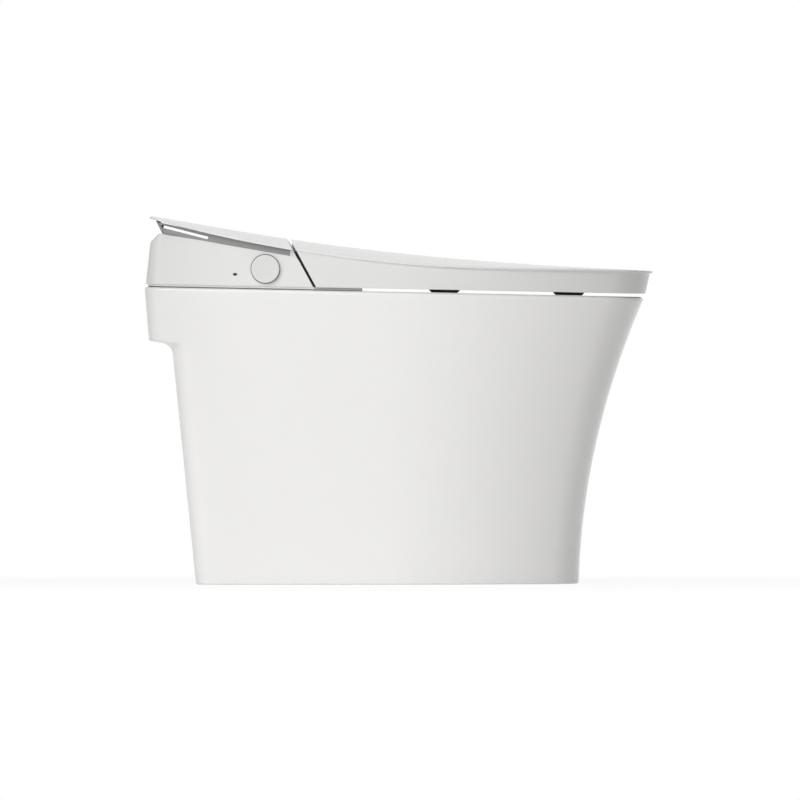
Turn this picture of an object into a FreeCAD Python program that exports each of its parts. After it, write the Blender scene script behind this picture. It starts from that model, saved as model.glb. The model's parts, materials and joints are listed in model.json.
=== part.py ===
import FreeCAD, Part

import math
import os
import re

import Sketcher

# A floor-standing tankless toilet with a heated washing seat.
# Millimetres. +Z up, the bowl faces -Y, the knob is on the -X side.
# The origin is on the floor, under the centre of the whole object.

SIZES = {
    # the ceramic body
    "overall_half_length": 345,
    "foot_front": 245,
    "foot_rear": 275,
    "foot_half_width": 150,
    "foot_nose": 92,
    "rim_front": 336.9,
    "rim_half_width": 190,
    "rim_nose": 118,
    "rim_height": 396.5,
    "rim_tilt": 1.174,
    "rear_lean": 0.1,
    "body_corner": 24,
    "front_curve_start": 20,
    "skirt_wall": 11,
    "deck_thickness": 24,
    "ledge_depth": 338,
    "ledge_drop": 68.5,
    "ledge_wall": 12,
    "ledge_curve": 13,
    # the bowl and its trap
    "bowl_half_width": 126,
    "bowl_front": 266,
    "bowl_rear": 112,
    "bowl_nose": 92,
    "bowl_tail": 96,
    "bowl_wall": 12,
    "sump_height": 124,
    "trap_radius": 26,
    "trap_wall": 10,
    "trap_bend": 42,
    "weir_drop": 140.5,
    "outlet_back": 45,
    "outlet_recess_radius": 52,
    "outlet_recess_depth": 13,
    "gasket_clearance": 0.5,
    # openings and fixings of the ceramic
    "well_half_width": 122,
    "well_front": 176,
    "well_rear": 318,
    "ledge_hollow_half_width": 160,
    "wand_notch_half_width": 30,
    "wand_notch_front": 90,
    "wand_notch_depth": 16.5,
    "service_half_width": 70,
    "service_bottom": 70,
    "service_drop": 146.5,
    "lug_half_width": 16,
    "lug_height": 24,
    "lug_back": 170,
    "anchor_spacing": 180,
    "anchor_hole_radius": 5.5,
    # the base plate and its screws
    "gasket_thickness": 0.8,
    "base_thickness": 3.2,
    "base_front": 117,
    "wing_front": 50,
    "wing_width": 26,
    "base_rear": 340,
    "base_half_width": 186,
    "base_corner": 20,
    "base_nose": 116,
    "base_screw_x": 150,
    "base_screw_front": 160,
    "base_screw_rear": 326,
    "base_screw_radius": 3,
    "base_screw_head_radius": 6,
    "base_screw_head": 3.5,
    "base_screw_length": 18,
    "screw_clearance": 0.4,
    # the rear housing
    "housing_half_width": 190,
    "housing_corner": 20,
    "housing_wall": 3,
    "housing_rear_low": 342.4,
    "housing_rear_high": 336.3,
    "shoulder_lift": 67.5,
    "housing_chamfer": 323.3,
    "top_rear_lift": 80.5,
    "top_front_lift": 48.5,
    "seam_y": 113.9,
    "seam_lift": 6.7,
    "seam_tilt": 28.55,
    "seam_gap": 4,
    # the crowned top plates
    "plate_half_width": 198,
    "plate_rear": 337,
    "plate_corner": 18,
    "plate_nose": 122,
    "plate_thickness": 3.2,
    "plate_glue_gap": 0.2,
    "brim_lift": 24.5,
    "brim_rise": 77,
    "brim_power": 2.65,
    "crown_front": 4,
    "crown_rear": 1.5,
    "crown_height": 14,
    "riser_half_width": 187,
    "riser_wall": 9,
    "riser_rear_wall": 4,
    "riser_rear_low": 322,
    "riser_lean": 0.5,
    "riser_front": 146,
    "slot_front": 258,
    "slot_rear": 318,
    "slot_rise": 15.4,
    "slot_height": 3.4,
    "slot_lift": 71.8,
    # the hinge
    "hinge_y": 166.9,
    "hinge_lift": 58.4,
    "shaft_radius": 3,
    "running_clearance": 0.05,
    "side_clearance": 0.5,
    "barrel_radius": 5.5,
    "lid_arm_x": 92,
    "seat_arm_x": 112,
    "arm_width": 14,
    "arm_thickness": 7,
    "bracket_inner_x": 84,
    "bracket_thickness": 5,
    "bracket_outer_x": 130,
    "damper_radius": 8.5,
    "damper_length": 28,
    "bay_depth": 14,
    "bay_half_width": 137,
    "cheek_radius": 7,
    "foot_thickness": 3,
    "lid_arm_back": 5,
    "lid_arm_drop": 30,
    "lid_arm_reach": 29,
    "seat_arm_back": 9,
    "seat_arm_drop": 46,
    "arm_seat_gap": 0.3,
    # the lid
    "skirt_low_drop": 11.5,
    "skirt_high_lift": 63.5,
    "skirt_half_width_low": 190,
    "skirt_half_width_high": 197,
    "skirt_front_low": 333.4,
    "skirt_front_high": 350.1,
    "lid_skirt_wall": 3,
    "lid_gap": 4.3,
    "lid_panel_height": 26,
    "lid_panel_thickness": 2.5,
    "lid_bumper_radius": 8,
    # the seat
    "seat_half_width": 184,
    "seat_front": 327,
    "seat_rear": 104,
    "seat_corner": 24,
    "seat_nose": 114,
    "seat_hole_half_width": 106,
    "seat_hole_front": 232,
    "seat_hole_rear": 50,
    "seat_hole_nose": 80,
    "seat_hole_tail": 80,
    "seat_tray_thickness": 8,
    "seat_cover_thickness": 12,
    "seat_wall": 3,
    "heater_thickness": 1,
    "seat_rest_gap": 0.3,
    "bumper_length": 42,
    "bumper_width": 14,
    "bumper_spread": 152,
    "bumper_rear": 62,
    "bumper_front_spread": 96,
    "bumper_front": 231,
    # the side knob
    "knob_y": 180.5,
    "knob_lift": 31.2,
    "knob_radius": 19.3,
    "knob_thickness": 5,
    "knob_gap": 2.6,
    "knob_travel": 2,
    "knob_bore_radius": 6.4,
    "plunger_radius": 6,
    "plunger_length": 16,
    "knob_shaft_radius": 3,
    "knob_shaft_length": 26,
    "encoder_depth": 12,
    "encoder_side": 18,
    "lens_y": 221.9,
    "lens_lift": 23.9,
    "lens_radius": 2.2,
    # the wands
    "wand_tilt": 18,
    "port_y": 112,
    "port_drop": 3.5,
    "wand_x": 16,
    "wand_radius": 6.5,
    "wand_length": 148,
    "wand_tip_length": 16,
    "guide_wall": 3,
    "guide_front": 4,
    "guide_length": 152,
    "guide_clearance": 0.4,
    "rack_width": 5,
    "rack_base": 1.5,
    "tooth_module": 1,
    "tooth_addendum": 0.8,
    "tooth_dedendum": 1.1,
    "tooth_width": 1.15,
    "tooth_tip": 0.55,
    "pinion_teeth": 12,
    "pinion_width": 5,
    "pinion_shaft_radius": 1.5,
    "motor_radius": 10,
    "motor_length": 15,
    "pinion_back": 38,
    # the dryer
    "duct_near_x": 54,
    "duct_far_x": 80,
    "duct_bottom": 8,
    "duct_top": 28,
    "duct_mouth_y": 124,
    "dryer_x": 85,
    "dryer_y": 222,
    "dryer_radius": 33,
    "dryer_wall": 2,
    "dryer_top": 38,
    "dryer_motor_radius": 14,
    "dryer_motor_height": 11,
    "fan_shaft_radius": 2,
    "flap_y": 131,
    "flap_thickness": 1.5,
    "flap_pin_radius": 1,
    # the deodoriser
    "deodoriser_x": 155,
    "deodoriser_y": 246,
    "deodoriser_radius": 26,
    "deodoriser_top": 32,
    "fan_post_radius": 3,
    "filter_width": 52,
    "filter_depth": 44,
    # the tray and what stands on it or hangs from it
    "tray_thickness": 2.5,
    "tray_lap": 6,
    "heater_near_x": 50,
    "heater_far_x": 118,
    "heater_front": 200,
    "heater_rear": 284,
    "heater_top": 40,
    "pump_half": 38,
    "pump_radius": 14,
    "pump_y": 294,
    "supply_near_x": 44,
    "supply_far_x": 112,
    "supply_front": 262,
    "supply_rear": 290,
    "supply_top": 36,
    "board_near_x": 134,
    "board_far_x": 180,
    "board_front": 204,
    "board_rear": 312,
    "flush_x": 62,
    "flush_y": 246,
    "flush_radius": 30,
    "flush_depth": 62,
    "valve_x": 66,
    "valve_y": 246,
    "valve_half": 24,
    "valve_depth": 44,
    "nipple_radius": 10.48,
    "nipple_bore_radius": 7,
    "nipple_length": 16,
    "gland_x": 92,
    "gland_y": 300,
    "gland_radius": 9,
    "gland_bore_radius": 3.6,
    "gland_length": 18,
}

# lengths worked out from the sizes above, in words of the same sheet
DERIVED = {
    "deck_top": "(gasket_thickness + base_thickness)",
    "guide_half_width": "(wand_x + wand_radius + guide_clearance + guide_wall)",
    "guide_half_height": "(wand_radius + guide_clearance + guide_wall)",
    "ledge_bottom": "(rim_height - ledge_drop)",
    "wand_notch_bottom": "(rim_height - wand_notch_depth)",
    "weir_height": "(rim_height - weir_drop)",
    "service_top": "(rim_height - service_drop)",
    "housing_shoulder": "(rim_height + shoulder_lift)",
    "housing_top_rear": "(rim_height + top_rear_lift)",
    "slot_level": "(rim_height + slot_lift)",
    "housing_top_front": "(rim_height + top_front_lift)",
    "seam_z": "(rim_height + seam_lift)",
    "brim_low": "(rim_height + brim_lift)",
    "hinge_z": "(rim_height + hinge_lift)",
    "skirt_low_z": "(rim_height - skirt_low_drop)",
    "skirt_high_z": "(rim_height + skirt_high_lift)",
    "knob_z": "(rim_height + knob_lift)",
    "lens_z": "(rim_height + lens_lift)",
    "port_z": "(rim_height - port_drop)",
    "seat_top": "(lid_gap + seat_tray_thickness + seat_cover_thickness)",
    "knob_face": "(-housing_half_width - knob_gap)",
    "pitch_radius": "(tooth_module * pinion_teeth / 2)",
    "tooth_pitch": "(3.14159265 * tooth_module)",
    "rack_floor": "(wand_radius + rack_base)",
    "pinion_height": "(wand_radius + rack_base + tooth_dedendum + tooth_module * pinion_teeth / 2)",
    "tray_top": "(gasket_thickness + base_thickness + tray_thickness)",
    "flap_height": "(duct_top - dryer_wall - flap_thickness)",
    "tool_floor": "(rim_height - 20)",
    "tool_ceiling": "(rim_height + 130)",
}

DOC = FreeCAD.newDocument("SmartToilet")
SHEET = DOC.addObject("Spreadsheet::Sheet", "Sizes")
NODES = []
VECTOR = FreeCAD.Vector
ALONG = {
    "X": FreeCAD.Rotation(VECTOR(0, 1, 0), 90),
    "Y": FreeCAD.Rotation(VECTOR(1, 0, 0), -90),
    "Z": FreeCAD.Rotation(),
}


def fill_sheet():
    """Write every driving size into the sheet, with its name as the alias."""
    for row, (name, value) in enumerate(SIZES.items(), start=1):
        SHEET.set(f"A{row}", name)
        SHEET.set(f"B{row}", str(value))
        SHEET.setAlias(f"B{row}", name)
    DOC.recompute()


def bound(text):
    """The expression with each size's name pointing at its cell."""
    def spelled_out(word):
        return DERIVED.get(word.group(), word.group())

    def cell(word):
        return "Sizes." + word.group() if word.group() in SIZES else word.group()

    return re.sub(r"[a-z_]+", cell, re.sub(r"[a-z_]+", spelled_out, str(text)))


def amount(text):
    """The present value of an expression of sizes."""
    value = SHEET.evalExpression(bound(text))
    return float(getattr(value, "Value", value))


def put(item, x="0", y="0", z="0"):
    for axis, text in zip("xyz", (x, y, z)):
        item.setExpression("Placement.Base." + axis, bound(text))
    return item


def block(name, x, y, z):
    """A box between two expressions on each axis."""
    item = DOC.addObject("Part::Box", name)
    for field, (low, high) in zip(("Length", "Width", "Height"), (x, y, z)):
        item.setExpression(field, bound(f"({high}) - ({low})"))
    return put(item, x[0], y[0], z[0])


def rod(name, axis, x, y, z, radius, length):
    """A cylinder that starts at a point and runs along +X, +Y or +Z."""
    item = DOC.addObject("Part::Cylinder", name)
    item.Placement = FreeCAD.Placement(VECTOR(), ALONG[axis])
    item.setExpression("Radius", bound(radius))
    item.setExpression("Height", bound(length))
    return put(item, x, y, z)


def cut(name, base, *tools):
    for number, tool in enumerate(tools, start=1):
        last = number == len(tools)
        item = DOC.addObject("Part::Cut", name if last else f"{name}_step_{number}")
        item.Base = base
        item.Tool = tool
        base = item
    return base


def fuse(name, *pieces):
    item = DOC.addObject("Part::MultiFuse", name)
    item.Shapes = list(pieces)
    item.Refine = True
    return item


def group(name, *pieces):
    item = DOC.addObject("Part::Compound", name)
    item.Links = list(pieces)
    return item


def common(name, base, tool):
    item = DOC.addObject("Part::Common", name)
    item.Base = base
    item.Tool = tool
    return item


def node(label, item):
    """Name a finished sub-part and put it on the list that is written out."""
    item.Label = label
    NODES.append(item)
    return item


def on_rim(item):
    """Lay a piece, drawn flat, on the sloping top face of the ceramic."""
    item.Placement = FreeCAD.Placement(VECTOR(), FreeCAD.Rotation(VECTOR(1, 0, 0), 1))
    item.setExpression("Placement.Rotation.Angle", bound("rim_tilt"))
    return put(item, "0", "0", "rim_height")


def plane(body, role):
    return [item for item in body.Origin.OriginFeatures if item.Role == role][0]


def arc_between(start, end, radius, side):
    """A short arc; its centre lies to the left of the way when side is 1."""
    chord = end - start
    half = chord.Length / 2
    left = VECTOR(-chord.y, chord.x, 0).normalize()
    centre = (start + end) / 2 + left * side * math.sqrt(max(radius**2 - half**2, 0))
    ends = (start, end) if side > 0 else (end, start)
    angles = [math.atan2(point.y - centre.y, point.x - centre.x) for point in ends]
    if angles[1] < angles[0]:
        angles[1] += 2 * math.pi
    return Part.ArcOfCircle(Part.Circle(centre, VECTOR(0, 0, 1), radius), *angles)


def outline(body, name, role, offset, corners):
    """A closed sketch through corners (across, up) or (across, up, radius, side).

    A corner with a radius is reached by an arc, the others by a straight line.
    """
    sketch = body.newObject("Sketcher::SketchObject", name)
    sketch.AttachmentSupport = [(plane(body, role), "")]
    sketch.MapMode = "FlatFace"
    sketch.setExpression("AttachmentOffset.Base.z", bound(offset))
    points = [VECTOR(amount(corner[0]), amount(corner[1]), 0) for corner in corners]
    ends = []
    for index, corner in enumerate(corners):
        start, end = points[index - 1], points[index]
        if len(corner) == 4:
            edge = arc_between(start, end, amount(corner[2]), corner[3])
            ends.append((1, 2) if corner[3] > 0 else (2, 1))
        else:
            edge = Part.LineSegment(start, end)
            ends.append((1, 2))
        sketch.addGeometry(edge, False)
    for index, corner in enumerate(corners):
        before = index - 1 if index else len(corners) - 1
        sketch.addConstraint(
            Sketcher.Constraint("Coincident", before, ends[before][1], index, ends[index][0])
        )
        for kind, text, value in (
            ("DistanceX", corner[0], points[index].x),
            ("DistanceY", corner[1], points[index].y),
        ):
            number = sketch.addConstraint(
                Sketcher.Constraint(kind, -1, 1, index, ends[index][1], value)
            )
            sketch.setExpression(f"Constraints[{number}]", bound(text))
        if len(corner) == 4:
            number = sketch.addConstraint(
                Sketcher.Constraint("Radius", index, amount(corner[2]))
            )
            sketch.setExpression(f"Constraints[{number}]", bound(corner[2]))
    return sketch


def pad(name, role, low, high, corners):
    """A body: one outline, padded from one offset of its plane to another."""
    body = DOC.addObject("PartDesign::Body", name)
    sketch = outline(body, name + "_sketch", role, low, corners)
    feature = body.newObject("PartDesign::Pad", name + "_pad")
    feature.Profile = sketch
    feature.setExpression("Length", bound(f"({high}) - ({low})"))
    return body


def loft(name, role, sections):
    """A body: a smooth loft through (offset, corners) sections."""
    body = DOC.addObject("PartDesign::Body", name)
    sketches = [
        outline(body, f"{name}_sketch_{number}", role, offset, corners)
        for number, (offset, corners) in enumerate(sections)
    ]
    feature = body.newObject("PartDesign::AdditiveLoft", name + "_loft")
    feature.Profile = sketches[0]
    feature.Sections = sketches[1:]
    return body


def round_end(half_width, reach, nose):
    """Side radius, join across and join along of an end made of three tangent arcs."""
    along = f"(({reach}) - ({nose}))"
    side = (
        f"((({half_width})^2 + {along}^2 - ({nose})^2) / (2 * (({half_width}) - ({nose}))))"
    )
    share = f"({side} / ({side} - ({nose})))"
    across = f"(({half_width}) - {side} + {share} * ({side} - ({half_width})))"
    return side, across, f"({share} * {along})"


def d_shape(half_width, front, rear, corner, nose, start):
    """Plan outline with a straight back and a rounded front, seen from above."""
    side, across, along = round_end(half_width, f"({front}) + ({start})", nose)
    return [
        (f"{half_width}", f"({rear}) - ({corner})"),
        (f"({half_width}) - ({corner})", f"{rear}", corner, 1),
        (f"({corner}) - ({half_width})", f"{rear}"),
        (f"-({half_width})", f"({rear}) - ({corner})", corner, 1),
        (f"-({half_width})", f"{start}"),
        (f"-{across}", f"({start}) - {along}", side, 1),
        (f"{across}", f"({start}) - {along}", nose, 1),
        (f"{half_width}", f"{start}", side, 1),
    ]


def egg(half_width, front, rear, nose, tail, middle):
    """Plan outline that is rounded at both ends, seen from above."""
    side, across, along = round_end(half_width, f"({front}) + ({middle})", nose)
    back_side, back_across, back_along = round_end(half_width, f"({rear}) - ({middle})", tail)
    return [
        (f"{half_width}", f"{middle}", side, 1),
        (f"{back_across}", f"({middle}) + {back_along}", back_side, 1),
        (f"-{back_across}", f"({middle}) + {back_along}", tail, 1),
        (f"-({half_width})", f"{middle}", back_side, 1),
        (f"-{across}", f"({middle}) - {along}", side, 1),
        (f"{across}", f"({middle}) - {along}", nose, 1),
    ]


def box_shape(low_x, high_x, low_y, high_y):
    return [(low_x, low_y), (high_x, low_y), (high_x, high_y), (low_x, high_y)]


def bent_tube(name, points, radius, bend):
    """A round bar along straight runs, with an arc at each turn."""
    spots = [VECTOR(*[amount(text) for text in point]) for point in points]
    edges = []
    last = spots[0]
    for before, spot, after in zip(spots, spots[1:], spots[2:]):
        back = (before - spot).normalize()
        ahead = (after - spot).normalize()
        turn = math.pi - back.getAngle(ahead)
        reach = amount(bend) * math.tan(turn / 2)
        middle = (back + ahead).normalize()
        depth = amount(bend) / math.cos(turn / 2) - amount(bend)
        first = spot + back * reach
        second = spot + ahead * reach
        edges.append(Part.LineSegment(last, first).toShape())
        edges.append(Part.Arc(first, spot + middle * depth, second).toShape())
        last = second
    edges.append(Part.LineSegment(last, spots[-1]).toShape())
    ring = Part.Circle(spots[0], spots[1] - spots[0], amount(radius)).toShape()
    item = DOC.addObject("Part::Feature", name)
    item.Shape = Part.Wire(edges).makePipeShell([Part.Wire(ring)], True, True)
    return item


def flare(share):
    """How far a section stands out of the foot, as a share of the whole flare."""
    return f"(0.1 * ({share}) + 0.9 * ({share})^2)"


def ceramic_section(share, inset, height, rear):
    """Outline of the skirt at a share of its height, drawn in by an inset."""
    out = flare(share)
    return (
        height,
        d_shape(
            f"foot_half_width + (rim_half_width - foot_half_width) * {out} - ({inset})",
            f"foot_front + (rim_front - foot_front) * {out} - ({inset})",
            f"{rear} - ({inset})",
            f"body_corner - ({inset})",
            f"foot_nose + (rim_nose - foot_nose) * {out} - ({inset})",
            "front_curve_start",
        ),
    )


def ceramic_loft(name, inset, rear_foot="foot_rear"):
    sections = []
    for share in (0, 0.25, 0.5, 0.75, 1, 1.05):
        height = f"rim_height * {share}"
        rear = f"{rear_foot} + rear_lean * {height}"
        sections.append(ceramic_section(share, inset, height, rear))
    return loft(name, "XY_Plane", sections)


def above_rim(name, lift):
    """Everything above the sloping rim, raised by a lift."""
    item = block(name, ("-400", "400"), ("-500", "500"), ("0", "300"))
    item.Placement = FreeCAD.Placement(VECTOR(), FreeCAD.Rotation(VECTOR(1, 0, 0), 1))
    item.setExpression("Placement.Rotation.Angle", bound("rim_tilt"))
    return put(item, "-400", "-500 * cos(rim_tilt)", f"rim_height + ({lift}) - 500 * sin(rim_tilt)")


def bowl_section(share, size, inset):
    """Outline of the basin: the opening's egg, made smaller towards the sump."""
    middle = f"((bowl_rear - bowl_front) / 2 * (1 - ({share})) + 10 * ({share}))"
    half = "((bowl_rear + bowl_front) / 2)"
    return (
        f"sump_height - ({inset}) + (rim_height + 14 + ({inset}) - sump_height) * (1 - {share})",
        egg(
            f"bowl_half_width * {size} + ({inset})",
            f"{half} * {size} - {middle} + ({inset})",
            f"{half} * {size} + {middle} + ({inset})",
            f"bowl_nose * {size} + ({inset})",
            f"bowl_tail * {size} + ({inset})",
            f"{middle}",
        ),
    )


def bowl_loft(name, inset):
    steps = ((0, 1), (0.3, 0.96), (0.58, 0.8), (0.8, 0.56), (1, 0.28))
    return loft(name, "XY_Plane", [bowl_section(share, size, inset) for share, size in reversed(steps)])


def trap_tube(name, radius):
    return bent_tube(
        name,
        [
            ("0", "0", "sump_height + trap_radius + 2"),
            ("0", "outlet_back", "sump_height + trap_radius + 2"),
            ("0", "outlet_back + 75", "weir_height"),
            ("0", "outlet_back + 160", "weir_height"),
            ("0", "outlet_back + 160", "78"),
            ("0", "outlet_back", "66"),
            ("0", "outlet_back", "-1"),
        ],
        radius,
        "trap_bend",
    )


def ledge_room():
    """The space below the rear ledge, with a hollow curve where it meets the skirt's back."""
    low = "ledge_bottom - ledge_curve"
    back = f"foot_rear + rear_lean * ({low}) + ledge_curve"
    filling = cut(
        "ledge_filling",
        block("ledge_corner", ("-300", "300"), ("-400", back), (low, "ledge_bottom + 1")),
        rod("ledge_curve_tool", "X", "-301", back, low, "ledge_curve", "602"),
    )
    room = block("ledge_room", ("-300", "300"), ("-400", "400"), ("-10", "ledge_bottom"))
    return cut("ledge_space", room, filling)


def ceramic_body():
    """One firing: skirt, rim, basin, trap and the shelf that carries the works."""
    shelf = cut(
        "ledge",
        ceramic_loft("ledge_mass", "0", "ledge_depth - rear_lean * ledge_bottom"),
        ledge_room(),
    )
    outside = cut(
        "ceramic_outside",
        fuse("ceramic_mass", ceramic_loft("skirt_outside", "0"), shelf),
        above_rim("rim_plane", "0"),
    )
    hollow = fuse(
        "skirt_hollow",
        ceramic_loft("skirt_inside", "skirt_wall"),
        block(
            "ledge_hollow",
            ("-ledge_hollow_half_width", "ledge_hollow_half_width"),
            ("240", "ledge_depth - ledge_wall"),
            ("ledge_bottom + ledge_wall", "rim_height"),
        ),
    )
    hollow = cut("hollow_below_deck", hollow, above_rim("deck_plane", "-deck_thickness"))
    basin = fuse(
        "basin_walls",
        bowl_loft("basin_outside", "bowl_wall"),
        trap_tube("trap_outside", "trap_radius + trap_wall"),
    )
    shell = cut("ceramic_shell", outside, cut("ceramic_hollow", hollow, basin))
    lug_x = "anchor_spacing / 2"
    lugs = [
        block(
            f"lug_{side}",
            (f"{sign} * {lug_x} - lug_half_width", f"{sign} * {lug_x} + lug_half_width"),
            ("lug_back - lug_half_width", "lug_back + lug_half_width"),
            ("0", "lug_height"),
        )
        for side, sign in (("left", 1), ("right", -1))
    ]
    bridges = [
        block(
            f"lug_bridge_{side}",
            (f"{low} * anchor_spacing / 2", f"{high} * anchor_spacing / 2"),
            ("lug_back - lug_half_width", "lug_back + lug_half_width"),
            ("0", "lug_height"),
        )
        for side, low, high in (("left", "1", "1.6"), ("right", "-1.6", "-1"))
    ]
    openings = [
        bowl_loft("basin_inside", "0"),
        trap_tube("trap_inside", "trap_radius"),
        block(
            "deck_well",
            ("-well_half_width", "well_half_width"),
            ("well_front", "well_rear"),
            ("rim_height - deck_thickness - 30", "rim_height + 30"),
        ),
        block(
            "wand_notch",
            ("-wand_notch_half_width", "wand_notch_half_width"),
            ("wand_notch_front", "well_front + 1"),
            ("wand_notch_bottom", "rim_height + 30"),
        ),
        block(
            "service_window",
            ("-service_half_width", "service_half_width"),
            ("foot_rear - 40", "foot_rear + 60"),
            ("service_bottom", "service_top"),
        ),
        rod(
            "outlet_recess", "Z", "0", "outlet_back", "0", "outlet_recess_radius", "outlet_recess_depth"
        ),
    ]
    openings += [
        rod(
            f"anchor_hole_{side}",
            "Z",
            f"{sign} * {lug_x}",
            "lug_back",
            "-1",
            "anchor_hole_radius",
            "lug_height + 2",
        )
        for side, sign in (("left", 1), ("right", -1))
    ]
    openings += base_screw_tools("deck_hole", "base_screw_radius + screw_clearance")
    collar = rod(
        "outlet_collar", "Z", "0", "outlet_back", "0", "outlet_recess_radius + trap_wall", "outlet_recess_depth + 12"
    )
    solid = fuse("ceramic_solid", shell, collar, *lugs, *bridges)
    return node("ceramic_body", cut("ceramic_body_cut", solid, *openings))


def base_screw_places():
    return [
        (f"{sign} * base_screw_x", y, f"{side}_{end}")
        for side, sign in (("left", 1), ("right", -1))
        for end, y in (("front", "base_screw_front"), ("rear", "base_screw_rear"))
    ]


def base_screw_tools(name, radius):
    """Upright cylinders where the base plate is screwed down, laid on the rim."""
    return [
        on_rim_at(
            rod(f"{name}_{place}", "Z", x, y, "-base_screw_length", radius, "base_screw_length + 10"),
            x,
            y,
            "-base_screw_length",
        )
        for x, y, place in base_screw_places()
    ]


def on_rim_at(item, x, y, z):
    """Tilt an upright cylinder with the rim and stand it at a flat-drawn place."""
    item.Placement = FreeCAD.Placement(VECTOR(), FreeCAD.Rotation(VECTOR(1, 0, 0), 1))
    item.setExpression("Placement.Rotation.Angle", bound("rim_tilt"))
    return put(
        item,
        x,
        f"({y}) * cos(rim_tilt) - ({z}) * sin(rim_tilt)",
        f"rim_height + ({y}) * sin(rim_tilt) + ({z}) * cos(rim_tilt)",
    )


def below_rim(name, lift):
    """Everything below the sloping rim, raised by a lift."""
    item = block(name, ("-400", "400"), ("-500", "500"), ("-300", "0"))
    return on_rim_at(item, "-400", "-500", f"({lift}) - 300")


def seam_at(height, shift):
    """Where the slanted joint between housing and lid is, at a height."""
    return f"(seam_y + (({height}) - seam_z) * tan(seam_tilt) + ({shift}))"


def before_seam(name, shift):
    """Everything in front of the slanted joint, moved back by a shift."""
    return pad(
        name,
        "YZ_Plane",
        "-300",
        "300",
        [
            (seam_at("tool_floor", shift), "tool_floor"),
            (seam_at("tool_ceiling", shift), "tool_ceiling"),
            ("-500", "tool_ceiling"),
            ("-500", "tool_floor"),
        ],
    )


def behind_seam(name, shift):
    """Everything behind the slanted joint, moved back by a shift."""
    return pad(
        name,
        "YZ_Plane",
        "-300",
        "300",
        [
            (seam_at("tool_floor", shift), "tool_floor"),
            ("500", "tool_floor"),
            ("500", "tool_ceiling"),
            (seam_at("tool_ceiling", shift), "tool_ceiling"),
        ],
    )


def brim(share):
    """Height of the top plate's lower edge, at a share of the length from the front."""
    return f"(brim_low + brim_rise * ({share})^brim_power)"


def crown_section(share, drop):
    """Cross-section under the crowned top: a flat edge height and an arc over it."""
    rise = (
        f"(crown_front + (crown_rear - crown_front) * ({share})"
        f" + crown_height * sin(180 * ({share})^1.45)^0.6 - plate_thickness)"
    )
    reach = "(plate_half_width + 8)"
    edge = f"({brim(share)} + plate_thickness - ({drop}))"
    radius = f"(({reach}^2 + {rise}^2) / (2 * {rise}))"
    return (
        f"overall_half_length * (1 - 2 * ({share}))",
        [
            (f"-{reach}", f"{edge} - 90"),
            (reach, f"{edge} - 90"),
            (reach, edge),
            (f"-{reach}", edge, radius, 1),
        ],
    )


def crown(name, drop):
    """All that lies under the crowned top surface, lowered by a drop."""
    shares = (-0.01, 0.1, 0.25, 0.4, 0.55, 0.68, 0.78, 0.87, 0.94, 0.99)
    sections = [crown_section(max(share, 0), drop) for share in shares]
    sections[0] = ("overall_half_length + 4", sections[0][1])
    return loft(name, "XZ_Plane", sections)


def plate_outline():
    return d_shape(
        "plate_half_width", "overall_half_length", "plate_rear", "plate_corner", "plate_nose", "front_curve_start"
    )


def top_sheet(name):
    """The crowned sheet that covers the housing and the lid, before it is parted."""
    prism = pad(name + "_prism", "XY_Plane", "tool_floor", "tool_ceiling", plate_outline())
    return cut(
        name,
        common(name + "_solid", prism, crown(name + "_top", "0")),
        crown(name + "_under", "plate_thickness"),
    )


def floor_gasket():
    ring = rod(
        "gasket_ring",
        "Z",
        "0",
        "outlet_back",
        "0",
        "outlet_recess_radius - gasket_clearance",
        "outlet_recess_depth",
    )
    bore = rod("gasket_bore", "Z", "0", "outlet_back", "-1", "trap_radius + 8", "outlet_recess_depth + 2")
    return node("floor_gasket", cut("gasket_cut", ring, bore))


def deck_outline(inset):
    return d_shape(
        f"base_half_width - ({inset})",
        "overall_half_length",
        f"base_rear - ({inset})",
        "base_corner",
        "base_nose",
        "front_curve_start",
    )


def deck_layer(name, inset, low, high):
    """A flat layer on the rim behind the seat: two wings, with the well left open."""
    sheet = pad(name + "_sheet", "XY_Plane", low, high, deck_outline(inset))
    reach = "base_half_width - wing_width"
    tools = [
        block(name + "_seat_room", (f"-({reach})", reach), ("-500", "base_front"), ("-10", "20")),
        block(name + "_front_room", ("-300", "300"), ("-500", "wing_front"), ("-10", "20")),
        block(
            name + "_well",
            ("-well_half_width", "well_half_width"),
            ("well_front", "well_rear"),
            ("-10", "20"),
        ),
        block(
            name + "_notch",
            ("-guide_half_width - side_clearance / 2", "guide_half_width + side_clearance / 2"),
            ("base_front - 1", "well_front + 1"),
            ("-10", "20"),
        ),
    ]
    tools += [
        rod(f"{name}_hole_{place}", "Z", x, y, "-10", "base_screw_radius + screw_clearance", "30")
        for x, y, place in base_screw_places()
    ]
    return cut(name + "_cut", sheet, *tools)


def base_gasket():
    return node("base_gasket", on_rim(deck_layer("base_gasket", "1.5", "0", "gasket_thickness")))


def base_plate():
    plate = deck_layer("base_plate", "0", "gasket_thickness", "deck_top")
    return node("base_plate", on_rim(plate))


def base_screws():
    pieces = []
    for x, y, place in base_screw_places():
        shank = rod(
            f"screw_shank_{place}", "Z", x, y, "deck_top - base_screw_length", "base_screw_radius", "base_screw_length"
        )
        head = rod(
            f"screw_head_{place}",
            "Z",
            x,
            y,
            "deck_top",
            "base_screw_head_radius",
            "base_screw_head",
        )
        pieces.append(fuse(f"screw_{place}", shank, head))
    return node("base_screws", on_rim(group("screw_group", *pieces)))


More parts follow.
